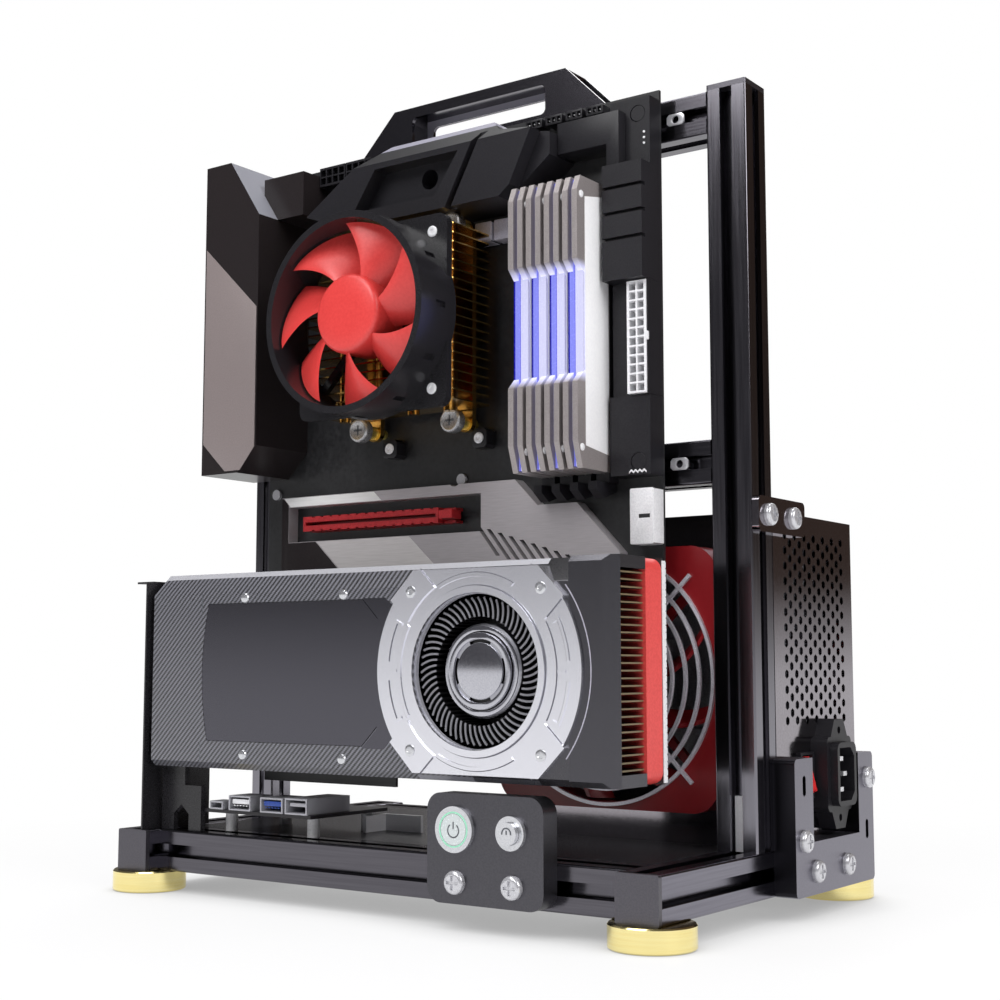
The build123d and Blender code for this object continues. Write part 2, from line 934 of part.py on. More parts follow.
def psu_fan_frame():
    """Square-cornered fan frame in front of the case, with the motor boss on struts."""
    outline = RectangleRounded(psu_fan_size, psu_fan_size, psu_fan_round) - Circle(psu_fan_bore)
    frame = from_front(Pos(psu_fan_x, psu_fan_z) * outline, psu_fan_front, psu_fan_depth)
    strut_y = psu_y[0] - strut_thickness
    frame += fan_struts(psu_fan_x, psu_fan_z, psu_fan_bore, psu_boss, strut_y, strut_thickness)
    return frame - disc(psu_fan_x, psu_fan_z, fan_shaft / 2 + shaft_clearance, strut_y, strut_thickness)


def psu_fan_rotor():
    """Fan wheel with its shaft in the motor boss."""
    front = psu_fan_front + psu_rotor_inset
    depth = psu_fan_depth - strut_thickness - psu_rotor_inset - psu_rotor_gap
    tip = psu_fan_bore - blade_clearance
    wheel = fan_rotor(
        psu_fan_x, psu_fan_z, psu_fan_hub, tip, front, depth,
        psu_fan_blades, psu_fan_chord, psu_fan_pitch, psu_fan_sweep,
    )
    return wheel + disc(psu_fan_x, psu_fan_z, fan_shaft / 2, front + depth, psu_rotor_gap + strut_thickness)


def psu_fan_guard():
    """Wire guard: rings on a cross, seated on the frame's face."""
    first = psu_fan_hub + guard_hub_gap
    step = (psu_fan_bore + guard_rim_overlap - first) / (guard_rings - 1)
    wires = Sketch()
    for number in range(guard_rings):
        radius = first + number * step
        wires += Circle(radius + guard_wire / 2) - Circle(radius - guard_wire / 2)
    cross = Rectangle(2 * (psu_fan_bore + guard_overlap), guard_wire) - Circle(first)
    wires += [Rot(0, 0, turn) * cross for turn in (45, 135)]
    return from_front(Pos(psu_fan_x, psu_fan_z) * wires, psu_fan_front - guard_wire, guard_wire)


def psu_circuit():
    """Circuit board at the back of the case with a transformer, a coil and two heat sinks."""
    back = psu_y[1] - psu_wall
    board_y = back - circuit_leg_length - circuit_thickness
    board_x = (psu_x[0] + circuit_margin, psu_x[1] - circuit_right_margin)
    board_z = (psu_z[0] + circuit_margin, psu_z[1] - circuit_margin)
    shape = span(board_x, (board_y, back - circuit_leg_length), board_z)
    pitch_x = board_x[1] - board_x[0] - 2 * circuit_leg_inset
    pitch_z = board_z[1] - board_z[0] - 2 * circuit_leg_inset
    for x, z in corners(pitch_x, pitch_z):
        leg_x = sum(board_x) / 2 + x
        leg_z = sum(board_z) / 2 + z
        shape += disc(leg_x, leg_z, circuit_leg / 2, back - circuit_leg_length, circuit_leg_length)
    for left, width, bottom, height, tall in circuit_blocks:
        x = psu_x[0] + left
        z = psu_z[0] + bottom
        shape += span((x, x + width), (board_y - tall, board_y), (z, z + height))
    return shape


def psu_plate():
    """Thick notched plate that ties the power supply to the right rail, on a spacer of the same outline."""
    width = plate_y[1] - plate_y[0]
    place = Pos(sum(plate_y) / 2, rail_bottom + psu_plate_height / 2)
    outline = place * RectangleRounded(width, psu_plate_height, psu_plate_round)
    notch = Pos(sum(notch_y) / 2, notch_z + psu_plate_height / 2)
    plate = outline - notch * Rectangle(notch_y[1] - notch_y[0], psu_plate_height)
    hole = Circle(screw_shank / 2 + screw_hole_clearance)
    holes = [Pos(y, rail_middle) * hole for y in rail_screws]
    spacer = from_right(plate - holes, right_face, psu_spacer_thickness)
    holes += [Pos(y, z) * hole for y, z in arm_screws]
    holes += [Pos(y, z) * Rot(0, 0, 90) * SlotOverall(oval_length, oval_width) for y, z in arm_ovals]
    cover = from_right(plate - holes, spacer_outer, psu_plate_thickness)
    return Compound([spacer, cover])


def psu_top_bracket():
    """Flat bracket from the post to the top of the power supply."""
    middle = (sum(bracket_y) / 2, sum(bracket_z) / 2)
    outline = Pos(*middle) * RectangleRounded(bracket_length, bracket_height, psu_plate_round)
    holes = [Pos(y, middle[1]) * Circle(screw_shank / 2 + screw_hole_clearance) for y in bracket_screws]
    return from_right(outline - holes, right_face, bracket_thickness)


def pan_screw():
    """Pan head screw along +Z, with the head's seat at the origin and a cross in the head."""
    head = Cylinder(screw_head / 2, screw_head_height, align=(Align.CENTER, Align.CENTER, Align.MIN))
    head = fillet(head.edges().group_by(Axis.Z)[-1], screw_head_round)
    for turn in (0, 90):
        bar = Box(screw_cross, screw_cross_width, 2 * screw_cross_depth)
        head -= Pos(0, 0, screw_head_height) * Rot(0, 0, turn) * bar
    return head


def plate_screws():
    """Pan head screws of the button panel, the bracket and the notched plate."""
    screws = []
    for side in (-1, 1):
        x = plate_centre + side * plate_screw_offset
        shank = disc(x, rail_middle, screw_shank / 2, panel_front, plate_depth + screw_reach)
        screws.append(Pos(x, panel_front, rail_middle) * Rot(90, 0, 0) * pan_screw() + shank)
    bracket_seat = right_face + bracket_thickness
    places = [(bracket_screws[0], bracket_seat, sum(bracket_z) / 2, screw_reach)]
    places.append((bracket_screws[1], bracket_seat, sum(bracket_z) / 2, 0.0))
    places += [(y, plate_outer, rail_middle, screw_reach) for y in rail_screws]
    places += [(y, plate_outer, z, -psu_spacer_thickness) for y, z in arm_screws]
    for y, seat, z, reach in places:
        length = seat - right_face + reach
        shank = from_right(Pos(y, z) * Circle(screw_shank / 2), seat - length, length)
        screws.append(Pos(seat, y, z) * Rot(0, 90, 0) * pan_screw() + shank)
    return Compound(screws)


def power_inlet():
    """Mains inlet: eared flange, raised rim and a socket with cut corners."""
    ears = Rectangle(inlet_ear_width, inlet_ear_length)
    flange = make_hull((ears + Rectangle(inlet_flange_width, inlet_waist)).edges())
    flange += RectangleRounded(inlet_flange_width, inlet_flange_height, inlet_flange_round)
    flange -= [Pos(0, side * inlet_ear_pitch / 2) * Circle(inlet_ear_hole / 2) for side in (-1, 1)]
    place = Pos(inlet_y, inlet_z)
    body = from_right(place * flange, right_face, inlet_flange_depth)
    rim = RectangleRounded(inlet_rim_width, inlet_rim_height, inlet_rim_round)
    body += from_right(place * rim, right_face + inlet_flange_depth, inlet_rim_depth)
    inset = 2 * inlet_fit
    back = RectangleRounded(inlet_rim_width - inset, inlet_rim_height - inset, inlet_rim_round)
    body += from_right(place * back, right_face - inlet_socket_depth, inlet_socket_depth)
    half_w = inlet_socket_width / 2
    half_h = inlet_socket_height / 2
    socket = outline_of(
        (-half_w, -half_h), (half_w - inlet_socket_cut, -half_h), (half_w, -half_h + inlet_socket_cut),
        (half_w, half_h - inlet_socket_cut), (half_w - inlet_socket_cut, half_h), (-half_w, half_h),
    )
    return body - from_right(place * socket, inlet_face - inlet_socket_depth, inlet_socket_depth)


def inlet_pins():
    """Three flat contact pins that stand in the socket."""
    pins = []
    places = [(inlet_pin_step, 0.0)]
    places += [(-inlet_pin_step, inlet_pin_offset), (-inlet_pin_step, -inlet_pin_offset)]
    for y, z in places:
        pin = Pos(inlet_y + y, inlet_z + z) * Rectangle(inlet_pin_thickness, inlet_pin_width)
        length = inlet_socket_depth - inlet_pin_setback
        pins.append(from_right(pin, inlet_face - inlet_socket_depth, length))
    return Compound(pins)


# The rocker turns on a pin along Y, just inside the case's face
rocker_pivot = Pos(right_face - rocker_pin_depth, switch_y, inlet_z) * Rot(90, 0, 0)


def power_switch_body():
    """Switch housing snapped into the case, with a bezel and a well that holds the rocker's pin."""
    place = Pos(switch_y, inlet_z)
    shape = from_right(place * Rectangle(switch_width, switch_height), right_face, switch_bezel)
    inset = 2 * (switch_lip + switch_fit)
    barrel = place * Rectangle(switch_width - inset, switch_height - inset)
    shape += from_right(barrel, right_face - switch_body_depth, switch_body_depth)
    sweep = rocker_height / 2 + 2 * rocker_clearance
    half_width = rocker_width / 2 + rocker_clearance
    shape -= span(
        (right_face - switch_body_depth + switch_floor, right_face + switch_bezel),
        (switch_y - half_width, switch_y + half_width),
        (inlet_z - sweep, inlet_z + sweep),
    )
    return shape + rocker_pivot * Cylinder(rocker_pin / 2, 2 * half_width)


def power_switch_rocker():
    """Rocker with its lower end pressed out, bored for the pin."""
    half = rocker_height / 2
    lift = half * sin(radians(rocker_tilt))
    outer = switch_bezel + rocker_proud
    outline = outline_of(
        (-rocker_root, -half + rocker_root_cut), (outer + lift, -half), (outer, 0), (outer - lift, half),
        (-rocker_root, half - rocker_root_cut),
    )
    place = Pos(right_face - rocker_pin_depth, inlet_z)
    block = from_front(place * outline, switch_y - rocker_width / 2, rocker_width)
    block &= rocker_pivot * Cylinder(half + rocker_clearance, rocker_width)
    return block - rocker_pivot * Cylinder(rocker_pin / 2 + rocker_pin_clearance, rocker_width)


# Main board places: pieces on the board are set out from its left edge, its top and its rows of holes
board_x = (-right_face + board_left_margin, right_face - board_right_margin)
board_z = (post_top - board_height, post_top)
board_back = post_front - standoff_length
board_front = board_back - board_thickness
hole_x = (
    board_x[0] + board_hole_inset,
    board_x[0] + board_hole_inset + board_hole_step,
    board_x[1] - board_hole_inset,
)
hole_z = (top_bar_z + profile / 2, middle_bar_z + profile / 2)
shroud_x = (board_x[0] - shroud_overhang, board_x[0] - shroud_overhang + shroud_width)
shroud_z = (board_z[1] - shroud_length, board_z[1])
shroud_front = board_front - shroud_height
cover_x = (board_x[1] - cover_width, board_x[1])
cover_z = (board_z[1] - cover_top_drop - cover_length, board_z[1] - cover_top_drop)
socket_x = (board_x[1] - main_socket_inset - main_socket_width, board_x[1] - main_socket_inset)
socket_z = (board_z[1] - main_socket_drop - main_socket_length, board_z[1] - main_socket_drop)
cpu_socket_left = shroud_x[1] + wing_width + cpu_socket_gap
cpu_socket_right = cpu_socket_left + (cpu_socket_count - 1) * cpu_socket_pitch + cpu_socket_length
last_memory = cover_x[0] - memory_cover_gap - memory_thickness / 2
memory_x = [last_memory - number * memory_pitch for number in reversed(range(memory_count))]
heatsink_x = (cpu_socket_left + heatsink_socket_lead, memory_x[0] + heatsink_past_memory)
heatsink_z = (board_z[1] - heatsink_drop - heatsink_band, board_z[1] - heatsink_drop)
memory_z = (heatsink_z[0] + memory_rise - memory_length, heatsink_z[0] + memory_rise)
slot_x = (board_x[0] + slot_inset, board_x[0] + slot_inset + slot_length)
slot_middle = hole_z[1] - slot_row_drop
slot_z = (slot_middle - slot_width / 2, slot_middle + slot_width / 2)
latch_x = (slot_x[1] + latch_gap, slot_x[1] + latch_gap + latch_length)
latch_pivot = (latch_x[0] + latch_pin_inset, board_front - latch_pin_height)


def on_board(x, z, height):
    """Block that stands on the board's face."""
    return span(x, (board_front - height, board_front), z)


def head_pockets(column, depth):
    """Room round the heads of the board's screws in one column of holes."""
    return [disc(hole_x[column], z, board_head_room, board_front - depth, depth) for z in hole_z]


def mainboard():
    """Printed board with its fixing holes, the chokes beside the cooler and a header at the right edge."""
    board = span(board_x, (board_front, board_back), board_z)
    board -= [disc(x, z, board_hole / 2, board_front, board_thickness) for x in hole_x for z in hole_z]
    choke_right = memory_x[0] - memory_thickness / 2 - choke_memory_gap
    choke_top = heatsink_z[0] - choke_drop
    for number in range(choke_count):
        right = choke_right - number * choke_pitch
        board += on_board((right - choke_size, right), (choke_top - choke_size, choke_top), choke_height)
    header_top = cover_z[0] - header_gap
    board += on_board(
        (board_x[1] - header_width, board_x[1]), (header_top - header_length, header_top), header_height
    )
    return board


def board_standoffs():
    """Hexagonal spacers between the board and the crossbars, each with its screw head."""
    pieces = []
    for x in hole_x:
        for z in hole_z:
            flats = Pos(x, z) * RegularPolygon(standoff_flats / 2, 6)
            spacer = from_front(flats, board_back, standoff_length)
            stem = disc(x, z, board_hole / 2 - screw_hole_clearance, board_front, board_thickness)
            head = disc(x, z, board_head / 2, board_front - board_head_height, board_head_height)
            pieces.append(spacer + stem + head)
    return Compound(pieces)


def io_shroud():
    """Faceted hollow cover over the rear connectors, open towards them and towards the board."""
    left, right = shroud_x
    bottom, top = shroud_z
    face = outline_of(
        (left, top), (left + shroud_top, top), (right, top - shroud_slope),
        (right, bottom + shroud_cut), (right - shroud_cut, bottom), (left, bottom),
    )
    cover = from_front(face, shroud_front, shroud_height)
    inner = offset(face, -shroud_wall, kind=Kind.INTERSECTION)
    inner_front = shroud_front + shroud_wall
    cover -= from_front(inner, inner_front, shroud_height - shroud_wall)
    mouth_z = (bottom + shroud_wall, top - shroud_wall)
    cover -= span((left, left + shroud_wall), (inner_front, board_front), mouth_z)
    wedge = outline_of(
        (right - wing_root, top - shroud_slope), (right + wing_width, top - shroud_slope),
        (right + wing_width, top - wing_drop), (right - wing_root, top - wing_drop),
    )
    cover += from_front(wedge - inner, shroud_front + wing_setback, shroud_height - wing_setback)
    return cover - head_pockets(0, board_head_pocket)


def io_ports():
    """Connector plate with port shells that face the left side."""
    left = shroud_x[0]
    bottom = shroud_z[0] + shroud_wall
    top = shroud_z[1] - shroud_wall
    block = span((left, left + port_plate), (shroud_front + shroud_wall, board_front), (bottom, top))
    y = (board_front - port_height, board_front - port_height + port_width)
    middle_y = sum(y) / 2
    pitch = (top - bottom - port_first - jack_block - port_end) / (port_stacks + 1)
    shell_x = (left + port_plate, left + port_depth)
    shell_y = (y[0] - port_shell, board_front)
    for number in range(port_stacks + 1):
        low = bottom + port_first + number * pitch
        middle = low + (pitch - port_gap) / 2
        block += span(shell_x, shell_y, (low, low + pitch - port_gap))
        if number == port_stacks:
            mouth = Pos(middle_y, middle) * Rectangle(network_width, network_height)
            block -= from_right(mouth, left, port_mouth_depth)
            continue
        for side in (-1, 1):
            tongue = Rectangle(port_width - 2 * port_tongue_margin, port_tongue)
            mouth = Rectangle(port_width, port_mouth) - tongue
            place = Pos(middle_y, middle + side * port_spacing / 2)
            block -= from_right(place * mouth, left, port_mouth_depth)
    low = bottom + port_first + (port_stacks + 1) * pitch
    block += span(shell_x, shell_y, (low, low + jack_block))
    for row in (-1, 1):
        for column in (-1, 0, 1):
            place = Pos(middle_y + row * jack_pitch / 2, low + jack_block / 2 + column * jack_pitch)
            block -= from_right(place * Circle(jack_bore / 2), left, port_mouth_depth)
    return block - head_pockets(0, board_head_pocket)


def vrm_heatsink():
    """Faceted heat sink along the board's top edge, cut by a slanted recess and a groove."""
    left, right = heatsink_x
    low, high = heatsink_z
    shoulder = cpu_socket_right + heatsink_socket_gap
    outline = outline_of(
        (left, low + heatsink_left_rise),
        (shoulder, high - heatsink_step),
        (shoulder + heatsink_slant, high),
        (right - heatsink_ramp, high),
        (right - heatsink_ramp + heatsink_ramp_length, high - heatsink_ramp_drop),
        (right, high - heatsink_step), (right, low + heatsink_cut_height), (right - heatsink_cut_width, low),
        (left + heatsink_left_cut, low),
    )
    front = board_front - heatsink_height
    body = from_front(outline, front, heatsink_height)
    crown = outline_of((front, high), (front + heatsink_crown, high), (front, high - heatsink_crown))
    body -= from_right(crown, left, right - left)
    recess_left = left + recess_inset
    recess_top = high - recess_drop
    recess_low = recess_top - recess_height
    recess = outline_of(
        (recess_left, recess_top), (recess_left + recess_width, recess_top),
        (recess_left + recess_width - recess_lean, recess_low), (recess_left - recess_lean, recess_low),
    )
    body -= from_front(recess, front, recess_depth)
    bore_depth = heatsink_height - sink_bore_floor
    body -= disc(left + sink_bore_inset, high - sink_bore_drop, sink_bore / 2, front, bore_depth)
    groove_right = right - heatsink_ramp + groove_width
    groove = outline_of(
        (groove_right - groove_width, high), (groove_right, high),
        (groove_right - groove_lean, low), (groove_right - groove_lean - groove_width, low),
    )
    body -= from_front(groove, front, groove_depth)
    facet = outline_of((right, high), (right, low), (right - facet_width, low))
    body -= from_front(facet, front, facet_depth)
    return body - head_pockets(1, board_head_pocket)


def socket_block(x, z, height, columns, rows):
    """Power socket with a grid of square cells open to the front."""
    block = on_board(x, z, height)
    centre = Pos(sum(x) / 2, sum(z) / 2)
    grid = GridLocations(socket_pitch, socket_pitch, columns, rows)
    cells = Sketch() + [centre * place * Rectangle(socket_cell, socket_cell) for place in grid]
    return block - from_front(cells, board_front - height, socket_cell_depth)


def main_power_socket():
    """Two rows of twelve cells."""
    return socket_block(socket_x, socket_z, main_socket_height, 2, 12)


def cpu_power_sockets():
    """Two sockets of two rows of four cells beside the heat sink."""
    z = (board_z[1] - cpu_socket_drop - cpu_socket_width, board_z[1] - cpu_socket_drop)
    pieces = []
    for number in range(cpu_socket_count):
        left = cpu_socket_left + number * cpu_socket_pitch
        pieces.append(socket_block((left, left + cpu_socket_length), z, main_socket_height, 4, 2))
    return Compound(pieces)


def edge_cover():
    """Stepped cover along the board's right edge, grooved, with a window for the main socket."""
    left = cover_x[0]
    bottom, top = cover_z
    step_top = top - cover_step_drop
    window_z = (socket_z[0] - cover_socket_gap, socket_z[1] + cover_socket_gap)
    cover = on_board(cover_x, (step_top, top), cover_step_height)
    cover += on_board(cover_x, (window_z[1], step_top), cover_height)
    cover += on_board((left, socket_x[0] - cover_socket_gap), window_z, cover_side_height)
    cover += on_board(cover_x, (bottom, window_z[0]), cover_low_height)
    front = board_front - cover_height
    for number in range(cover_groove_count):
        z = step_top - cover_groove_first - number * cover_groove_pitch
        groove_z = (z - cover_groove / 2, z + cover_groove / 2)
        cover -= span(cover_x, (front, front + cover_groove_depth), groove_z)
    return cover - head_pockets(2, cover_height)


def chipset_cover():
    """Flat cover with stepped right edge, a window round the expansion slot and slanted vents."""
    left = board_x[0] + chip_inset
    top = hole_z[1] - chip_hole_gap
    bottom = top - chip_height
    shelf = left + chip_top + chip_bevel
    outline = outline_of(
        (left, top),
        (left + chip_top, top),
        (shelf, top - chip_bevel),
        (shelf + chip_shelf, top - chip_bevel),
        (left + chip_width, top - chip_bevel - chip_fall), (left + chip_width, bottom), (left, bottom),
    )
    window_x = (slot_x[0] - chip_window_left, latch_x[1] + chip_window_right)
    window_z = (slot_z[0] - chip_window_bottom, slot_z[1] + chip_window_top)
    window = Rectangle(window_x[1] - window_x[0], window_z[1] - window_z[0])
    outline -= Pos(sum(window_x) / 2, sum(window_z) / 2) * window
    vent = outline_of(
        (0, 0), (chip_vent_width, 0), (chip_vent_width - chip_vent_lean, chip_vent_length),
        (-chip_vent_lean, chip_vent_length),
    )
    vents = Sketch()
    for number in range(chip_vents):
        x = window_x[1] + chip_vent_inset + number * chip_vent_pitch
        vents += Pos(x, top - chip_vent_drop - number * chip_vent_fall) * vent
    cover = from_front(outline - vents, board_front - chip_cover_height, chip_cover_height)
    return cover - head_pockets(1, chip_cover_height)


def pcie_slot():
    """Expansion slot with a long contact groove, ribbed sides and two ears for the latch's pin."""
    front = board_front - slot_height
    body = on_board(slot_x, slot_z, slot_height)
    body -= span(
        (slot_x[0] + slot_margin, slot_x[1] - slot_margin),
        (front, board_front - slot_floor),
        (slot_middle - slot_groove / 2, slot_middle + slot_groove / 2),
    )
    for number in range(slot_ribs):
        x = slot_x[0] + (number + 1) * slot_rib_pitch
        for z in slot_z:
            rib_z = (z - slot_rib_depth, z + slot_rib_depth)
            body -= span((x, x + slot_rib_gap), (front, board_front - slot_floor), rib_z)
    ear_x = (slot_x[1], latch_x[0] + latch_ear_length)
    body += on_board(ear_x, (slot_z[0], slot_z[0] + latch_ear), latch_ear_height)
    body += on_board(ear_x, (slot_z[1] - latch_ear, slot_z[1]), latch_ear_height)
    pin = Cylinder(latch_pin / 2, slot_width - latch_ear)
    return body + Pos(latch_pivot[0], latch_pivot[1], slot_middle) * pin


def pcie_latch():
    """Retention latch: a hooked lever that swings on the slot's pin."""
    low = slot_z[0] + latch_ear + latch_side_gap
    thick = slot_width - 2 * (latch_ear + latch_side_gap)
    foot_y = board_front - latch_foot_gap
    top_y = board_front - slot_height
    hook_y = top_y - latch_rise
    left, right = latch_x
    side = outline_of(
        (left, foot_y), (left + latch_foot, foot_y), (right, board_front - latch_heel), (right, hook_y),
        (left + latch_hook, hook_y), (left + latch_hook, top_y), (left, top_y),
    )
    bore = Cylinder(latch_pin / 2 + latch_pin_clearance, thick)
    return from_below(side, low, thick) - Pos(latch_pivot[0], latch_pivot[1], slot_middle) * bore


def memory_slots():
    """Memory sockets with a long groove and a latch at the lower end."""
    rows = []
    half = memory_socket_width / 2
    z = (memory_z[0] - memory_socket_end, memory_z[1] + memory_socket_end)
    front = board_front - memory_socket_height
    latch_y = board_front - memory_latch
    tail = outline_of(
        (board_front, z[0]), (latch_y, z[0]), (latch_y, z[0] - memory_latch_step),
        (board_front - memory_latch_heel, z[0] - memory_latch_drop), (board_front, z[0] - memory_latch_foot),
    )
    for x in memory_x:
        body = on_board((x - half, x + half), z, memory_socket_height)
        body -= span(
            (x - memory_key / 2, x + memory_key / 2),
            (front, board_front - memory_seat),
            (memory_z[0] - memory_key_gap, memory_z[1] + memory_key_gap),
        )
        rows.append(body + from_right(tail, x - memory_latch_width / 2, memory_latch_width))
    return Compound(rows)


# A module's free edge has a lower waist, which its light bar fills
memory_top = board_front - memory_reach
memory_dip = memory_top + memory_waist_depth
waist_z = (sum(memory_z) / 2 - memory_waist / 2, sum(memory_z) / 2 + memory_waist / 2)


def memory_modules():
    """Memory boards, each between two pressed heat spreaders with cut ends and a lower waist."""
    base = board_front - memory_socket_height
    low, high = memory_z
    spreader = outline_of(
        (base, low), (memory_top + memory_low_cut, low), (memory_top, low + memory_low_slope),
        (memory_top, waist_z[0]), (memory_dip, waist_z[0] + memory_waist_depth),
        (memory_dip, waist_z[1] - memory_waist_depth), (memory_top, waist_z[1]),
        (memory_top, high - memory_high_slope), (memory_top + memory_high_cut, high), (base, high),
    )
    plate = (memory_thickness - memory_bar) / 2
    modules = []
    for x in memory_x:
        module = from_right(spreader, x - memory_thickness / 2, plate)
        module += from_right(spreader, x + memory_bar / 2, plate)
        bar = (x - memory_bar / 2, x + memory_bar / 2)
        module += span(bar, (memory_top + memory_bridge, base), memory_z)
        card_y = (memory_top + memory_bar_depth, board_front - memory_seat - memory_seat_gap)
        module += span((x - memory_card / 2, x + memory_card / 2), card_y, memory_z)
        modules.append(module)
    return Compound(modules)


def memory_light_bars():
    """Clear bars between the heat spreaders, wide in the waist."""
    face = memory_top + memory_lens_recess
    lens = outline_of(
        (memory_dip, waist_z[0] + memory_waist_depth), (face, waist_z[0] + memory_lens_recess),
        (face, waist_z[1] - memory_lens_recess), (memory_dip, waist_z[1] - memory_waist_depth),
    )
    bars = []
    bar_y = (memory_top + memory_bar_recess, memory_top + memory_bar_depth)
    bar_z = (memory_z[0] + memory_bar_end, memory_z[1] - memory_bar_end)
    for x in memory_x:
        bar = span((x - memory_bar / 2, x + memory_bar / 2), bar_y, bar_z)
        bars.append(bar + from_right(lens, x - memory_thickness / 2, memory_thickness))
    return Compound(bars)


# Cooler places: the sprung screws clear the fins, and the upper two clear the regulator heat sink
fin_stack = (cooler_fin_count - 1) * cooler_fin_pitch + cooler_fin_thickness
screw_rise = fin_stack / 2 + cooler_screw_gap + cooler_screw_head / 2
cooler_x = board_x[0] + cooler_inset
cooler_z = heatsink_z[0] - cooler_heatsink_gap - cooler_screw_head / 2 - screw_rise
cooler_seat = board_front - cooler_lift
fin_y = (cooler_seat - cooler_fin_depth, cooler_seat)
fan_y = (fin_y[0] - cooler_fan_depth, fin_y[0])
arm_y = (cooler_seat + cooler_arm_setback, cooler_seat + cooler_arm_setback + cooler_arm_thickness)
screw_places = [(cooler_x + dx, cooler_z + dz) for dx, dz in corners(cooler_screw_x, 2 * screw_rise)]
pipe_step = [number - (cooler_pipe_count - 1) / 2 for number in range(cooler_pipe_count)]
pipe_x = [cooler_x + step * cooler_pipe_pitch for step in pipe_step]
pipe_y = sum(fin_y) / 2


def cooler_base():
    """Processor lid and copper block with four heat pipes through the fins and a cross of mounting arms."""
    half = cooler_base_size / 2
    block_x = (cooler_x - half, cooler_x + half)
    shape = on_board(block_x, (cooler_z - half, cooler_z + half), cooler_lift)
    pipes = []
    for x in pipe_x:
        pipe = Cylinder(cooler_pipe / 2, fin_stack + 2 * cooler_pipe_end)
        pipes.append(Pos(x, pipe_y, cooler_z) * pipe)
    for x, z in screw_places:
        limits = (min(z, cooler_z), max(z, cooler_z))
        shape += span((x - cooler_arm / 2, x + cooler_arm / 2), arm_y, limits)
        shape += disc(x, z, cooler_arm / 2, arm_y[0], cooler_arm_thickness)
    reach = cooler_screw_x / 2 + cooler_arm / 2
    arm_z = (cooler_z - cooler_arm, cooler_z + cooler_arm)
    shape += span((cooler_x - reach, cooler_x + reach), arm_y, arm_z)
    bore = screw_shank / 2 + screw_hole_clearance
    shape -= [disc(x, z, bore, arm_y[0], cooler_arm_thickness) for x, z in screw_places]
    return Compound([shape] + pipes)


def cooler_fins():
    """Stack of thin plates on the heat pipes."""
    sheet = Pos(cooler_x, pipe_y) * RectangleRounded(cooler_fin_width, cooler_fin_depth, cooler_fin_round)
    holes = [Pos(x, pipe_y) * Circle(cooler_pipe / 2 + shaft_clearance) for x in pipe_x]
    fin = from_below(sheet - holes, 0, cooler_fin_thickness)
    first = cooler_z - fin_stack / 2
    heights = [first + number * cooler_fin_pitch for number in range(cooler_fin_count)]
    return Compound([Pos(0, 0, height) * fin for height in heights])


def cooler_fan_frame():
    """Round fan duct on a square flange with screw ears, with the motor boss on struts."""
    place = Pos(cooler_x, cooler_z)
    bore = cooler_ring / 2 - cooler_ring_wall
    frame = from_front(place * (Circle(cooler_ring / 2) - Circle(bore)), fan_y[0], cooler_fan_depth)
    flange = RectangleRounded(cooler_flange, cooler_flange, cooler_flange_round) - Circle(bore)
    ears = corners(cooler_ear_pitch, cooler_ear_pitch)
    flange -= [Pos(*spot) * Circle(cooler_ear_hole / 2) for spot in ears]
    frame += from_front(place * flange, fan_y[1] - cooler_flange_thickness, cooler_flange_thickness)
    centre = Pos(cooler_x, fan_y[0] + cooler_notch_setback, cooler_z)
    for number in range(cooler_notches):
        turn = Rot(0, number * 360 / cooler_notches, 0) * Pos(cooler_ring / 2, 0, 0)
        frame -= centre * turn * Box(cooler_notch, cooler_notch_length, cooler_notch)
    strut_y = fan_y[1] - strut_thickness
    frame += fan_struts(cooler_x, cooler_z, bore, cooler_boss, strut_y, strut_thickness)
    return frame - disc(cooler_x, cooler_z, fan_shaft / 2 + shaft_clearance, strut_y, strut_thickness)


def cooler_fan_rotor():
    """Seven-bladed fan wheel with its shaft in the motor boss."""
    front = fan_y[0] + cooler_rotor_inset
    depth = cooler_fan_depth - strut_thickness - cooler_rotor_inset - cooler_rotor_gap
    tip = cooler_ring / 2 - cooler_ring_wall - blade_clearance
    wheel = fan_rotor(
        cooler_x, cooler_z, cooler_hub, tip, front, depth,
        cooler_blades, cooler_chord, cooler_pitch, cooler_sweep,
    )
    shaft = cooler_rotor_gap + strut_thickness - shaft_end_gap
    return wheel + disc(cooler_x, cooler_z, fan_shaft / 2, front + depth, shaft)


def cooler_screws():
    """Sprung mounting screws: wide crossed heads on turned barrels."""
    pieces = []
    head_y = board_front - cooler_screw_height
    barrel_y = head_y + cooler_screw_head_depth
    for x, z in screw_places:
        head = disc(x, z, cooler_screw_head / 2, head_y, cooler_screw_head_depth)
        for turn in (0, 90):
            bar = Pos(x, z) * Rot(0, 0, turn) * Rectangle(cooler_screw_cross, cooler_screw_cross_width)
            head -= from_front(bar, head_y, cooler_screw_cross_depth)
        barrel = disc(x, z, cooler_screw_barrel / 2, barrel_y, arm_y[0] - barrel_y)
        shank = disc(x, z, screw_shank / 2, arm_y[0], board_front - arm_y[0])
        pieces.append(head + barrel + shank)
    return Compound(pieces)


# Card places: it stands clear of the button panel, and its fan is set out from its right end
card_x = (-right_face + card_inset, -right_face + card_inset + card_length)
card_front = front_end + card_setback
card_back = card_front + card_shroud_depth
card_z = (panel_top + card_panel_gap, panel_top + card_panel_gap + card_height)
cap_left = card_x[1] - card_cap_length
cap_back = card_front + card_cap_depth
base_y = (card_back - card_base_thickness, card_back)
fan_x = card_x[1] - card_fan_inset
fan_z = sum(card_z) / 2 - card_fan_drop
fan_place = Pos(fan_x, fan_z)
impeller_y = (card_front + card_impeller_setback, base_y[0] - card_impeller_back)
vent_z = (sum(card_z) / 2 - card_vent_height / 2, sum(card_z) / 2 + card_vent_height / 2)


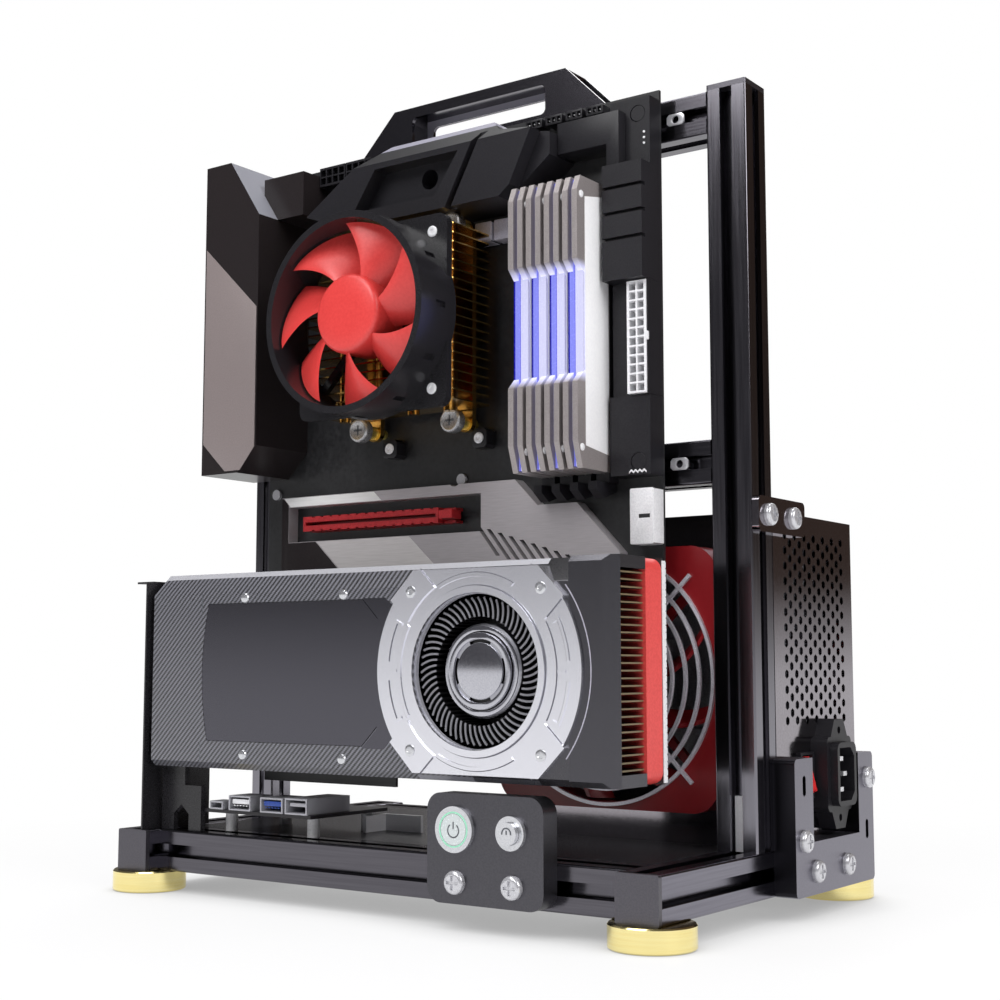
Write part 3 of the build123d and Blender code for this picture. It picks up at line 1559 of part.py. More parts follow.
def card_section(inset):
    """Side view of the shroud, with a wide chamfer along the top."""
    front = card_front + inset
    low = card_z[0] + inset
    high = card_z[1] - inset
    return outline_of(
        (card_back, low), (front + card_bottom_chamfer, low), (front, low + card_bottom_chamfer),
        (front, high - card_top_chamfer), (front + card_top_chamfer, high), (card_back, high),
    )


def window_outline(margin):
    """Front view of the dark window: bowed at the left, cut corners at the right."""
    low = card_z[0] + window_bottom_rise - margin
    high = card_z[1] - window_top_margin + margin
    left = card_x[0] + window_inset - margin
    right = fan_x - window_fan_gap + margin
    bow = ThreePointArc((left, high), (left - window_bow, (low + high) / 2), (left, low))
    rest = Polyline(
        (left, low), (right - window_corner, low), (right, low + window_corner),
        (right, high - window_corner), (right - window_corner, high), (left, high),
    )
    return make_face(bow + rest)


def card_shroud():
    """Hollow front cover of the card, open to the back, with the window's recess and the fan's mouth."""
    cover = from_right(card_section(0), card_x[0], cap_left - card_x[0])
    inner_x = (card_x[0] + card_wall, cap_left - card_wall)
    cover -= from_right(card_section(card_wall), inner_x[0], inner_x[1] - inner_x[0])
    cover -= span(inner_x, base_y, (card_z[0] + card_wall, card_z[1] - card_wall))
    cover -= from_front(window_outline(window_gap), card_front, window_recess)
    return cover - disc(fan_x, fan_z, card_fan_opening / 2, card_front, card_wall)


def card_window():
    """Dark window set into the shroud's face."""
    return from_front(window_outline(0), card_front, window_recess)


def sector(first, last, radius):
    """Wedge between two angles, wide enough to cut a ring."""
    far = 2 * radius
    ends = [(far * cos(radians(turn)), far * sin(radians(turn))) for turn in (first, last)]
    return outline_of((0, 0), *ends)


def card_fan_surround():
    """Cast surround of the fan, seated on the shroud's face and its upper chamfer.

    A raised lip and a rim go round the opening, four corner blocks stand on the diagonals, plates
    close the gaps above and below, and broad arcs with L-shaped ridges close them at the sides.
    """
    opening = card_fan_opening / 2 + surround_gap
    lip = opening + surround_lip_width
    ring = lip + surround_ring_width
    reach = ring + surround_arc_width
    height = card_height - 2 * surround_margin
    arm = ring + surround_block_length
    block = Pos(arm / 2, 0) * Rectangle(arm, surround_block)
    blocks = Sketch() + [Rot(0, 0, turn) * block for turn in (45, 135, 225, 315)]
    blocks &= Rectangle(2 * arm, height)
    arcs = Circle(reach) & Rectangle(2 * reach, surround_arc_height)
    outline = (arcs + Rectangle(surround_plate, height) + blocks) - Circle(opening)
    face = card_front - surround_rise
    body = from_front(fan_place * outline, face, surround_rise + card_top_chamfer)
    body -= from_right(card_section(0), card_x[0], card_length)
    body += from_front(fan_place * (blocks - Circle(ring)), face - surround_block_rise, surround_block_rise)
    lip_ring = Circle(lip) - Circle(opening)
    body += from_front(fan_place * lip_ring, face - surround_lip_rise, surround_lip_rise)
    gap = Rectangle(2 * arm, surround_block + 2 * surround_rim_gap)
    rim = Circle(ring) - Circle(ring - surround_rim) - [Rot(0, 0, turn) * gap for turn in (45, 135)]
    body += from_front(fan_place * rim, face - surround_rim_rise, surround_rim_rise)
    line = reach - ridge_inset
    ridge = (Circle(line) - Circle(line - ridge_width)) & sector(ridge_first, ridge_last, line)
    turned_in = Pos(line - ridge_return / 2, 0) * Rectangle(ridge_return, ridge_width)
    ridge += Rot(0, 0, ridge_last) * turned_in
    ridge += mirror(ridge, Plane.XZ)
    ridge += Pos(line - ridge_return, 0) * Rectangle(ridge_return, ridge_width)
    ridges = ridge + Rot(0, 0, 180) * ridge
    return body + from_front(fan_place * ridges, face - ridge_rise, ridge_rise)


def card_impeller():
    """Blower wheel: turned hub with slots in its cap, back plate, shaft and a ring of curved blades."""
    tip = card_fan_opening / 2 - card_impeller_gap
    root = card_fan_hub / 2
    front, back = impeller_y
    wheel = disc(fan_x, fan_z, tip, back - card_impeller_disc, card_impeller_disc)
    hub_front = front + card_hub_setback
    hub = disc(fan_x, fan_z, root, hub_front, back - hub_front)
    hub = chamfer(hub.edges().group_by(Axis.Y)[0], hub_chamfer)
    hub += disc(fan_x, fan_z, hub_cap / 2, hub_front - hub_cap_rise, hub_cap_rise)
    slot = Circle(hub_slot_radius + hub_slot_width / 2) - Circle(hub_slot_radius - hub_slot_width / 2)
    slot &= sector(-hub_slot_angle / 2, hub_slot_angle / 2, hub_slot_radius)
    slots = Sketch() + [Rot(0, 0, turn) * slot for turn in (0, 90, 180, 270)]
    hub -= from_front(fan_place * slots, hub_front - hub_cap_rise, hub_slot_depth)
    reach = tip - root - card_blade_gap
    bend = (root + card_blade_gap + reach / 2, reach * 0.16)
    blade_line = ThreePointArc((root + card_blade_gap, 0), bend, (tip - surround_gap / 2, reach * 0.5))
    blade = trace(blade_line, card_blade_thickness)
    blades = Sketch() + [place * blade for place in PolarLocations(0, card_blade_count)]
    wheel += from_front(fan_place * blades, front, back - front - card_impeller_disc)
    shaft = disc(fan_x, fan_z, fan_shaft / 2, back, card_back - back - shaft_end_gap)
    return wheel + hub + shaft


def card_baseplate():
    """Cast plate behind the shroud with the blower's bearing boss."""
    gap = card_wall + card_base_gap
    plate = span((card_x[0] + gap, cap_left - gap), base_y, (card_z[0] + gap, card_z[1] - gap))
    boss_y = impeller_y[1] + card_bearing_gap
    plate += disc(fan_x, fan_z, card_bearing / 2, boss_y, base_y[0] - boss_y)
    return plate - disc(fan_x, fan_z, fan_shaft / 2 + shaft_clearance, boss_y, card_back - boss_y)


def card_board():
    """Printed board with its edge tab, and the back plate behind it."""
    board_y = (card_back, card_back + card_board_thickness)
    tab_left = card_x[0] + card_tab_inset
    board = span(card_x, board_y, card_z)
    board += span((tab_left, tab_left + card_tab_length), board_y, (card_z[0] - card_tab_height, card_z[0]))
    return board + span(
        (card_x[0], card_x[1] - card_back_margin),
        (board_y[1], board_y[1] + card_back_thickness),
        (card_z[0] + card_back_margin, card_z[1] - card_back_margin),
    )


def card_end_cap():
    """Black end of the shroud with a tall vent in its right face."""
    low, high = card_z
    plan = outline_of(
        (cap_left, card_front), (card_x[1] - card_cap_bevel, card_front),
        (card_x[1], card_front + card_cap_bevel_depth), (card_x[1], cap_back), (cap_left, cap_back),
    )
    body = from_below(plan, low, high - low)
    body -= span((cap_left + card_vent_inset, card_x[1]), (cap_back - card_vent_depth, cap_back), vent_z)
    edges = body.edges().filter_by(Axis.X).group_by(Axis.Y)[0]
    return chamfer(edges, card_cap_chamfer)


def card_fins():
    """Thin horizontal fins in the end vent, seated on the band behind them."""
    pitch = card_vent_height / card_fin_count
    x = (cap_left + card_vent_inset, card_x[1] - card_fin_setback)
    y = (cap_back - card_vent_depth + card_fin_front_gap, cap_back)
    half = card_fin_thickness / 2
    middles = [vent_z[0] + (number + 0.5) * pitch for number in range(card_fin_count)]
    return Compound([span(x, y, (z - half, z + half)) for z in middles])


def card_red_band():
    """Coloured band behind the end cap, rounded at its outer corners."""
    block = span((cap_left, card_x[1]), (cap_back, card_back), card_z)
    edges = block.edges().filter_by(Axis.Y).group_by(Axis.X)[-1]
    return fillet(edges, band_round)


def card_bracket():
    """Folded slot bracket that stands on the left rail, with a flange at its head and lugs to the card."""
    right = card_x[0] - card_bracket_gap
    left = right - card_bracket_sheet
    top = card_z[1] - card_bracket_drop
    y = (card_front - card_bracket_front, card_back + card_bracket_rear)
    plate = span((left, right), y, (rail_top, top))
    flange_y = (y[0] + card_flange_setback, y[1])
    plate += span((left - card_flange, right), flange_y, (top, top + card_bracket_sheet))
    lug_y = (card_front + bracket_lug_setback, card_back)
    for low in (card_z[0] + bracket_lug_low, card_z[1] - bracket_lug_high):
        plate += span((right, card_x[0]), lug_y, (low, low + bracket_lug))
    slot_y = (lug_y[0], card_back - bracket_slot_rear)
    for number in range(bracket_slots):
        low = card_z[0] + bracket_slot_first + number * bracket_slot_pitch
        plate -= span((left, right), slot_y, (low, low + bracket_slot))
    return plate


def card_support():
    """Small stand under the card's left end, notched at its foot, on the front rail."""
    left = -right_face + support_inset
    right = left + support_width
    shoulder = rail_top + support_height
    notch = left + support_notch_inset
    side = rail_top + support_notch_side
    outline = outline_of(
        (left, rail_top), (notch, rail_top), (notch, side),
        (notch + support_notch / 2, rail_top + support_notch_peak), (notch + support_notch, side),
        (notch + support_notch, rail_top), (right, rail_top), (right, shoulder),
        (left + support_tab, shoulder), (left + support_tab, card_z[0]), (left, card_z[0]),
    )
    return from_front(outline, front_rail_face + support_setback, support_thickness)


def usb_board():
    """Front port board on four white legs with its port shells."""
    low = rail_top + ports_rise
    top = low + ports_thickness
    x = (-right_face + ports_inset, -right_face + ports_inset + ports_width)
    y = (front_end + ports_setback, front_end + ports_setback + ports_depth)
    pieces = [span(x, y, (low, top))]
    for leg_x in (x[0] + ports_leg_inset, x[1] - ports_leg_inset):
        for leg_y in (y[0] + ports_leg_front, y[1] - ports_leg_rear):
            leg = Cylinder(ports_leg / 2, ports_rise)
            pieces.append(Pos(leg_x, leg_y, rail_top + ports_rise / 2) * leg)
    wall = port_shell_wall
    for left, width, height, depth, tongue in port_shells:
        shell_x = (x[0] + left, x[0] + left + width)
        shell_y = (y[0] - port_shell_proud, y[0] + depth)
        mouth_y = (shell_y[0], shell_y[1] - port_shell_back)
        shell = span(shell_x, shell_y, (top, top + height))
        shell -= span((shell_x[0] + wall, shell_x[1] - wall), mouth_y, (top + wall, top + height - wall))
        if tongue:
            blade_x = (shell_x[0] + port_blade_inset, shell_x[1] - port_blade_inset)
            blade_y = (y[0] + port_blade_setback, mouth_y[1])
            blade_z = (top + height / 2, top + height / 2 + port_blade)
            shell += span(blade_x, blade_y, blade_z)
        pieces.append(shell)
    return Compound(pieces)


nodes = frame_members()
for piece in (
    end_caps, feet, base_plate, handle, corner_brackets, button_plate, button_bodies, plate_screws,
    psu_case, psu_fan_frame, psu_fan_rotor, psu_fan_guard, psu_circuit, psu_top_bracket, psu_plate,
    power_inlet, inlet_pins, power_switch_body, power_switch_rocker,
    mainboard, board_standoffs, io_shroud, io_ports, vrm_heatsink, cpu_power_sockets, edge_cover,
    main_power_socket, chipset_cover, pcie_slot, pcie_latch, memory_slots, memory_modules, memory_light_bars,
    cooler_base, cooler_fins, cooler_fan_frame, cooler_fan_rotor, cooler_screws,
    card_board, card_baseplate, card_shroud, card_window, card_fan_surround, card_impeller, card_end_cap,
    card_red_band, card_fins, card_bracket, card_support, usb_board,
):
    nodes[piece.__name__] = piece()
nodes["power_button_cap"] = button_cap(power_x, power_cap, 0.0)
nodes["reset_button_cap"] = button_cap(reset_x, reset_cap, cap_height)

# The origin lies under the middle of the whole bench, from the left feet to the screw heads at the right
reach_left = -right_face + profile / 2 - foot_diameter / 2
reach_right = plate_outer + screw_head_height
to_frame = Pos(-(reach_left + reach_right) / 2, 0, 0)
os.makedirs("parts", exist_ok=True)
for name, shape in nodes.items():
    export_step(to_frame * shape, f"parts/{name}.step")
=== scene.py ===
from math import cos, pi, radians, sin
import bmesh
import bpy
from mathutils import Matrix, Vector


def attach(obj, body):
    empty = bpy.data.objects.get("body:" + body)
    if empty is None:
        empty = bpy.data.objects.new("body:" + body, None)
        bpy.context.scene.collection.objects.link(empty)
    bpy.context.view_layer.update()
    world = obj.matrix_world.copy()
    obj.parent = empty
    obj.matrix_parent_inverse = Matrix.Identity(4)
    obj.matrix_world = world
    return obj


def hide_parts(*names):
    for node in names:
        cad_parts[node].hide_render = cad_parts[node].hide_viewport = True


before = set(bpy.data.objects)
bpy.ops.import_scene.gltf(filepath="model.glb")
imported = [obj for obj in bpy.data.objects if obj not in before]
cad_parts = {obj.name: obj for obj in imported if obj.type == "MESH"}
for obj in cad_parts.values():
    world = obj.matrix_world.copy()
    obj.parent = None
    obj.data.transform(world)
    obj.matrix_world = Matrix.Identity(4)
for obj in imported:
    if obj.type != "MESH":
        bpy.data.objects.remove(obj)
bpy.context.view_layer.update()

# Slotted frame members: extruded aluminium, black anodised and bolted end to end. The die leaves
# lines along each length, drawn 0.8 mm wide because real ones are too fine to show. The sealed film
# mirrors the pale floor, and that reflection is painted: the side rails and the posts carry paler
# tones than the other members, and the posts are painted paler low down.
mm = 0.001


def tone(code):
    """An sRGB hex value as linear colour."""
    parts = [int(code[i:i + 2], 16) / 255 for i in (0, 2, 4)]
    return tuple(c / 12.92 if c < 0.04045 else ((c + 0.055) / 1.055) ** 2.4 for c in parts) + (1.0,)


def add(tree, kind, inputs={}, **settings):
    """One shader node with its settings, its values and its links."""
    node = tree.nodes.new("ShaderNode" + kind)
    for key, value in settings.items():
        setattr(node, key, value)
    for key, value in inputs.items():
        if isinstance(value, bpy.types.NodeSocket):
            tree.links.new(value, node.inputs[key])
        else:
            node.inputs[key].default_value = value
    return node


def finish(name, dark, light, grain, depth, rough, sockets={}, stretch=(1, 1, 1)):
    """A finish whose tone, gloss and relief drift with a grain of a width and depth in millimetres.

    A real grain that is too fine to show is drawn as coarse as it needs to show, 0.5 to 1 mm wide.
    """
    material = bpy.data.materials.new(name)
    material.use_nodes = True
    tree = material.node_tree
    shader = tree.nodes["Principled BSDF"]
    for key, value in sockets.items():
        shader.inputs[key].default_value = value
    place = add(tree, "TexCoord").outputs["Object"]
    drawn = add(tree, "Mapping", {"Vector": place, "Scale": stretch}).outputs["Vector"]
    fine = {"Vector": drawn, "Scale": 1000 / grain, "Detail": 3.0}
    noise = add(tree, "TexNoise", fine).outputs["Fac"]
    relief = add(tree, "Bump", {"Height": noise, "Strength": 0.12, "Distance": depth * mm})
    tree.links.new(relief.outputs["Normal"], shader.inputs["Normal"])
    limits = {"Value": noise, "From Min": 0.3, "From Max": 0.7, "To Min": rough[0], "To Max": rough[1]}
    tree.links.new(add(tree, "MapRange", limits).outputs["Result"], shader.inputs["Roughness"])
    limits = {"Value": noise, "From Min": 0.35, "From Max": 0.65}
    drift = add(tree, "MapRange", limits).outputs["Result"]
    colours = {0: drift, 6: tone(dark), 7: tone(light)}
    colour = add(tree, "Mix", colours, data_type="RGBA").outputs[2]
    tree.links.new(colour, shader.inputs["Base Color"])
    return material


def paint(material, share, code):
    """Lays a colour over a finish, as far as a share from 0 to 1 says."""
    tree = material.node_tree
    socket = tree.nodes["Principled BSDF"].inputs["Base Color"]
    colours = {0: share, 6: socket.links[0].from_socket, 7: tone(code)}
    tree.links.new(add(tree, "Mix", colours, data_type="RGBA").outputs[2], socket)


def dress(material, *names, edge=0.0):
    """Gives solids a finish and softens their edges by a width in millimetres."""
    for name in names:
        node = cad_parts[name]
        if not node.material_slots:
            node.data.materials.append(material)
        for slot in node.material_slots:
            slot.material = material
        if edge:
            soft = node.modifiers.new("edge", "BEVEL")
            soft.width = edge * mm
            soft.segments = 2
            soft.limit_method = "ANGLE"
            soft.angle_limit = radians(40)
            soft.harden_normals = True


film = {"Metallic": 1.0}
drawn_out = 0.02
# Painted reflection: the side rails and the posts get paler tones than the front and rear members.
for names, dark, light, stretch in (
    (("front_rail", "rear_rail", "crossbar_top", "crossbar_middle"), "5b595f", "646268", (drawn_out, 1, 1)),
    (("side_rail_left", "side_rail_right"), "74727c", "7e7c86", (1, drawn_out, 1)),
    (("post_left", "post_right"), "66646a", "6f6d73", (1, 1, drawn_out)),
):
    anodised = finish("black_anodised_" + names[0], dark, light, 0.8, 0.04, (0.15, 0.21), film, stretch)
    dress(anodised, *names, edge=0.25)
post_black = anodised  # the loop ends with the posts
# Painted reflection of the pale floor: the posts are mixed toward pale grey from 160 mm down to 30 mm.
painted_reflection_top, painted_reflection_foot = 160, 30
tree = post_black.node_tree
height = add(tree, "SeparateXYZ", {0: add(tree, "TexCoord").outputs["Object"]}).outputs["Z"]
limits = {"Value": height, "From Min": painted_reflection_top * mm, "From Max": painted_reflection_foot * mm}
paint(post_black, add(tree, "MapRange", limits).outputs["Result"], "8a8890")


# Carrying handle: two plates of folded aluminium, black anodised, bolted across the posts by their
# feet. The film is smooth. Through the grip the rear plate's inner face is painted pale and matt, as
# painted light.
def zone(tree, *tests):
    """A share that is 1 where all the tests hold: each is a value, a comparison and its limit."""
    share = 1.0
    for value, comparison, limit in tests:
        held = add(tree, "Math", {0: value, 1: limit}, operation=comparison).outputs["Value"]
        share = add(tree, "Math", {0: share, 1: held}, operation="MULTIPLY").outputs["Value"]
    return share


smooth_black = finish("black_anodised_handle", "5b595f", "605e64", 0.8, 0.005, (0.16, 0.2), film)
tree = smooth_black.node_tree
grip_left, grip_right, rear_plate, forward = -44.7, 47.3, 2.5, -0.5
facing = add(tree, "SeparateXYZ", {0: add(tree, "NewGeometry").outputs["True Normal"]}).outputs["Y"]
where = add(tree, "SeparateXYZ", {0: add(tree, "TexCoord").outputs["Object"]}).outputs
# Painted light: the rear plate's front face behind the grip is painted pale and loses its metal.
painted_light_face = zone(
    tree,
    (facing, "LESS_THAN", forward),
    (where["Y"], "GREATER_THAN", rear_plate * mm),
    (where["X"], "GREATER_THAN", grip_left * mm),
    (where["X"], "LESS_THAN", grip_right * mm),
)
paint(smooth_black, painted_light_face, "b4b2c0")
metal = add(tree, "Math", {0: 1.0, 1: painted_light_face}, operation="SUBTRACT").outputs["Value"]
tree.links.new(metal, tree.nodes["Principled BSDF"].inputs["Metallic"])
dress(smooth_black, "handle", edge=0.4)

# End caps: die cast zinc blocks, pressed into the core bores and coated black. The coat is a
# little duller than the anodised film beside it.
cap_black = finish("satin_black_caps", "5d5b61", "66646a", 0.7, 0.05, (0.28, 0.36), {"Metallic": 0.9})
dress(cap_black, "end_caps", edge=0.5)

# Feet: turned brass discs, polished to gold and screwed under the corners. Faint lathe lines
# run round the side.
lathe_lines = (0.03, 0.03, 1)
gold = finish("polished_gold_brass", "f7e59b", "fbeca9", 0.9, 0.006, (0.13, 0.16), film, lathe_lines)
dress(gold, "feet", edge=0.6)

# Base plate, card stand and slot bracket: folded steel with a satin black powder coat,
# which shows as a fine orange peel.
powder = finish("black_powder_coat", "1d1c1f", "242326", 0.6, 0.06, (0.24, 0.34))
dress(powder, "base_plate", "card_support", "card_bracket", edge=0.4)

# Bright angle on the base and strip in the post: zinc castings, drawn pale and matt; that pale tone
# is painted light, keeping them bright in the shade under the card. Small fasteners: zinc plated steel
# with a fine brushed grain, also for the sliding nuts that stand in the crossbars' slots.
zinc = finish("zinc_plated_steel", "cacacf", "d6d6da", 0.5, 0.006, (0.2, 0.26), {"Metallic": 0.5})
dress(zinc, "board_standoffs", "plate_screws", edge=0.3)
# Painted light: the angle is given a pale matt tone instead of bright zinc.
angle_painted_light = finish("zinc_angle_painted_light", "d2d2d6", "dcdce0", 0.6, 0.01, (0.34, 0.42))
dress(angle_painted_light, "corner_brackets", edge=0.4)
scene = bpy.context.scene


def cut_plate(loops, thick, edge=0.0):
    """A flat plate on its own XY plane, in millimetres: the outline first, then its openings."""
    curve = bpy.data.curves.new("outline", "CURVE")
    curve.dimensions = "2D"
    curve.fill_mode = "BOTH"
    curve.extrude = thick / 2 - edge
    curve.bevel_depth = edge
    curve.bevel_resolution = 1
    curve.offset = -edge
    for loop in loops:
        spline = curve.splines.new("POLY")
        spline.points.add(len(loop) - 1)
        for point, (u, v) in zip(spline.points, loop):
            point.co = (u, v, 0, 1)
        spline.use_cyclic_u = True
    holder = bpy.data.objects.new("outline", curve)
    mesh = bpy.data.meshes.new_from_object(holder)
    mesh.transform(Matrix.Translation((0, 0, thick / 2)))
    bpy.data.objects.remove(holder)
    bpy.data.curves.remove(curve)
    return mesh


front = Matrix(((1, 0, 0, 0), (0, 0, -1, 0), (0, 1, 0, 0), (0, 0, 0, 1)))
right = Matrix(((0, 0, 1, 0), (1, 0, 0, 0), (0, 1, 0, 0), (0, 0, 0, 1)))


def at(x, y, z, turn=front):
    """The place of a mesh, in millimetres: its face looks to the front, or as the turn says."""
    return Matrix.Translation((x, y, z)) @ turn


def piece(name, material, meshes, body="bench", sharp=35):
    """Joins meshes and their places to one piece that rides on a body and takes a finish."""
    shape = bmesh.new()
    for mesh, place in meshes:
        mesh.transform(place)
        shape.from_mesh(mesh)
        bpy.data.meshes.remove(mesh)
    bmesh.ops.remove_doubles(shape, verts=shape.verts, dist=0.002)
    bmesh.ops.recalc_face_normals(shape, faces=shape.faces)
    bmesh.ops.scale(shape, vec=(mm, mm, mm), verts=shape.verts)
    joined = bpy.data.meshes.new(name)
    shape.to_mesh(joined)
    shape.free()
    joined.polygons.foreach_set("use_smooth", [True] * len(joined.polygons))
    joined.set_sharp_from_angle(angle=radians(sharp))
    joined.materials.append(material)
    made = bpy.data.objects.new(name, joined)
    scene.collection.objects.link(made)
    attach(made, body)
    return made


def oblong(width, height, cut):
    """A rectangle with cut corners about its own centre."""
    u, v = width / 2, height / 2
    return [
        (-u + cut, -v), (u - cut, -v), (u, -v + cut), (u, v - cut),
        (u - cut, v), (-u + cut, v), (-u, v - cut), (-u, -v + cut),
    ]


def ring(radius, sides=48):
    """A circle's points, counted round."""
    turns = [2 * pi * i / sides for i in range(sides)]
    return [(radius * cos(t), radius * sin(t)) for t in turns]


nut_outline, nut_hole, nut_thick = oblong(9.0, 5.6, 1.2), ring(1.8, 16), 1.2
slot_lip = -13.6
nuts = []
for x, z in ((-96, 202), (116, 202), (-96, 363.5), (116, 363.5)):
    nuts.append((cut_plate([nut_outline, nut_hole], nut_thick, 0.15), at(x, slot_lip, z)))
piece("sliding_nuts", zinc, nuts)

# Button panel: a thick aluminium plate with rounded corners, dark grey satin coat, held to the
# front rail by two pan head screws.
satin_grey = finish("dark_grey_satin_coat", "58575c", "605f64", 0.7, 0.04, (0.32, 0.4), {"Metallic": 0.95})
dress(satin_grey, "button_plate", edge=0.5)

# Push buttons: turned brass, nickel plated, with a wide bevel round each bezel. A green ring is let
# into the power button's bezel, and both caps carry a standby sign in dark enamel.
nickel = finish("nickel_plated_brass", "cfd0d4", "d9dade", 0.6, 0.004, (0.18, 0.22), {"Metallic": 0.8})
dress(nickel, "button_bodies", edge=1.1)
dress(nickel, "reset_button_cap", edge=0.7)
pale_mint = finish("pale_mint_cap", "d7dedf", "dde4e4", 0.7, 0.003, (0.24, 0.28), {"Metallic": 0.4})
dress(pale_mint, "power_button_cap", edge=0.3)


def band(inner, outer, first, last, steps=24):
    """A strip of a ring between two angles in degrees, counted from the right."""
    turns = [radians(first + (last - first) * i / steps) for i in range(steps + 1)]
    edge = [(outer * cos(t), outer * sin(t)) for t in turns]
    return edge + [(inner * cos(t), inner * sin(t)) for t in reversed(turns)]


def rectangle(left, right, low, high):
    """A rectangle's corners, counted round."""
    return [(left, low), (right, low), (right, high), (left, high)]


power_x, reset_x, button_z = 54.6, 83.6, 42.0
power_face, reset_face = -102.78, -104.98
ring_outer, ring_inner, ring_thick = 7.5, 6.8, 0.15
lit = {"Emission Color": tone("8fe8bd"), "Emission Strength": 0.12}
mint = finish("green_lit_ring", "8fd2b3", "a3dec2", 0.6, 0.01, (0.3, 0.36), lit)
power_ring = cut_plate([ring(ring_outer), ring(ring_inner)], ring_thick)
piece("power_ring", mint, [(power_ring, at(power_x, power_face, button_z))])
enamel = finish("dark_grey_enamel", "4d5055", "5c5f64", 0.5, 0.02, (0.4, 0.5))
enamel_thick = 0.12
sign_place = (power_x, power_face, button_z - 0.4)
sign_loops = (band(2.6, 3.15, 128, 412), rectangle(-0.28, 0.28, 0.6, 3.7))
sign = [(cut_plate([loop], enamel_thick), at(*sign_place)) for loop in sign_loops]
piece("power_sign", enamel, sign, "power_button")
sign_place = (reset_x, reset_face, button_z + 0.2)
sign_loops = (band(1.9, 2.5, -12, 192), rectangle(-0.3, 0.3, -0.4, 1.3))
sign = [(cut_plate([loop], enamel_thick), at(*sign_place)) for loop in sign_loops]
piece("reset_sign", enamel, sign, "reset_button")


# Front port board: a small black laminate on white nylon legs, with tinned port shells. The one
# solid is painted by height; tongues and contacts of blue and white nylon sit in the shells.
def layers(material, axis, *steps, pitch=1000.0):
    """Paints a finish in layers along an axis, each from a place in millimetres on, in every pitch."""
    tree = material.node_tree
    along = add(tree, "SeparateXYZ", {0: add(tree, "TexCoord").outputs["Object"]}).outputs[axis]
    span = {0: along, 1: pitch * mm}
    place = add(tree, "Math", span, operation="FLOORED_MODULO").outputs["Value"]
    for low, code in steps:
        paint(material, zone(tree, (place, "GREATER_THAN", low % pitch * mm)), code)


legs_top, laminate_top = 39.4, 41.2
port_board = finish("port_board_layers", "dcdcde", "ececee", 0.8, 0.04, (0.3, 0.42))
layers(port_board, "Z", (legs_top, "1d1b1f"), (laminate_top, "a9a9af"))
dress(port_board, "usb_board", edge=0.2)
blue_nylon = finish("blue_nylon", "26418f", "3253a8", 0.8, 0.03, (0.35, 0.45))
white_nylon = finish("white_nylon", "e2e2e5", "f0f0f2", 0.8, 0.03, (0.36, 0.46))
shell_width, shell_back, tongue_front, contact_front = 14.5, -74.5, -85.0, -85.5
tongue_z, back_z, contact_z = 45.5, 44.7, 43.6
for name, material, left, slot in (
    ("wide_port_tongue", blue_nylon, -73.7, "socket_black"),
    ("middle_port_tongue", white_nylon, -94.7, "white_nylon"),
):
    middle = left + shell_width / 2
    tip = cut_plate([oblong(11.2, 2.3, 0.3)], 0.6, 0.1)
    back = cut_plate([oblong(12.7, 5.4, 0.3)], 0.4)
    parts = [(tip, at(middle, tongue_front, tongue_z)), (back, at(middle, shell_back, back_z))]
    for step in (-4, -2, 0, 2, 4):
        contact = cut_plate([oblong(1.1, 0.5, 0.1)], 0.2)
        parts.append((contact, at(middle + step, contact_front, contact_z)))
    piece(name, material, parts)

# Power supply and its upper bracket: folded steel, plated to a dark mirror that takes the floor's
# light low down and the room's brown above. The case's end is pressed with rows of vents.
plated = finish("dark_plated_steel", "8d888d", "969197", 0.9, 0.006, (0.08, 0.11), film)
dress(plated, "psu_case", "psu_top_bracket", edge=0.5)

# Notched plate and its spacer: thick plate with the same satin coat as the button panel, held by
# bright pan head screws. Faces that look to the front are painted dark, and the pale grey left on its
# other faces is a painted highlight along its edges.
dark_satin = finish("grey_satin_coat", "7d7b85", "86848e", 0.7, 0.03, (0.28, 0.36), {"Metallic": 0.95})
tree = dark_satin.node_tree
facing = add(tree, "SeparateXYZ", {0: add(tree, "NewGeometry").outputs["True Normal"]}).outputs["Y"]
front_facing_limit = -0.7
# Painted highlight: only faces that look to the front are painted dark; the rest keep the pale grey.
paint(dark_satin, zone(tree, (facing, "LESS_THAN", front_facing_limit)), "2c2b30")
dress(dark_satin, "psu_plate", edge=0.5)

# Power supply fan: frame and wheel of red ABS, moulded with an even soft gloss; their red is
# darkened as painted shade for the shadow they stand in. The guard screwed over them is bent wire,
# chromed bright, drawn in a pale, mostly matt tone as a painted stand-in for its bright reflections.
# Painted shade: the red is darkened for the shadow over the fan.
painted_shade_red = finish("gloss_red_abs_painted_shade", "8c1a20", "901c22", 3.0, 0.001, (0.28, 0.32))
dress(painted_shade_red, "psu_fan_frame", "psu_fan_rotor", edge=0.5)
# Painted reflection: the chrome is drawn mostly matt and pale.
chrome = finish("chromed_wire", "d8d3de", "e6e2ea", 0.6, 0.01, (0.2, 0.28), {"Metallic": 0.25})
dress(chrome, "psu_fan_guard")

# Circuit in the power supply: a board with a transformer, a coil and heat sinks, screwed to the
# back of the case. Through the vents it shows as dim grey mouldings.
pale_grey = finish("pale_grey_moulding", "9fa2a8", "b4b7bc", 1.0, 0.06, (0.4, 0.5))
dress(pale_grey, "psu_circuit", edge=0.6)

# Mains inlet and rocker switch: black nylon housings with a soft moulded skin, nickel plated
# pins and a red rocker. The inlet is held by its ears, and the switch snaps into the case.
dull = {"Specular IOR Level": 0.3}
nylon_black = finish("moulded_black_nylon", "1c1b1f", "232226", 0.7, 0.02, (0.34, 0.4), dull)
dress(nylon_black, "power_inlet", "power_switch_body", edge=0.3)
pin_nickel = finish("nickel_pins", "d2d2d6", "e2e2e6", 0.5, 0.01, (0.2, 0.3), {"Metallic": 0.6})
dress(pin_nickel, "inlet_pins", edge=0.4)
rocker_red = finish("gloss_red_abs", "d02a2e", "dc3434", 1.5, 0.03, (0.26, 0.36))
dress(rocker_red, "power_switch_rocker", edge=0.5)

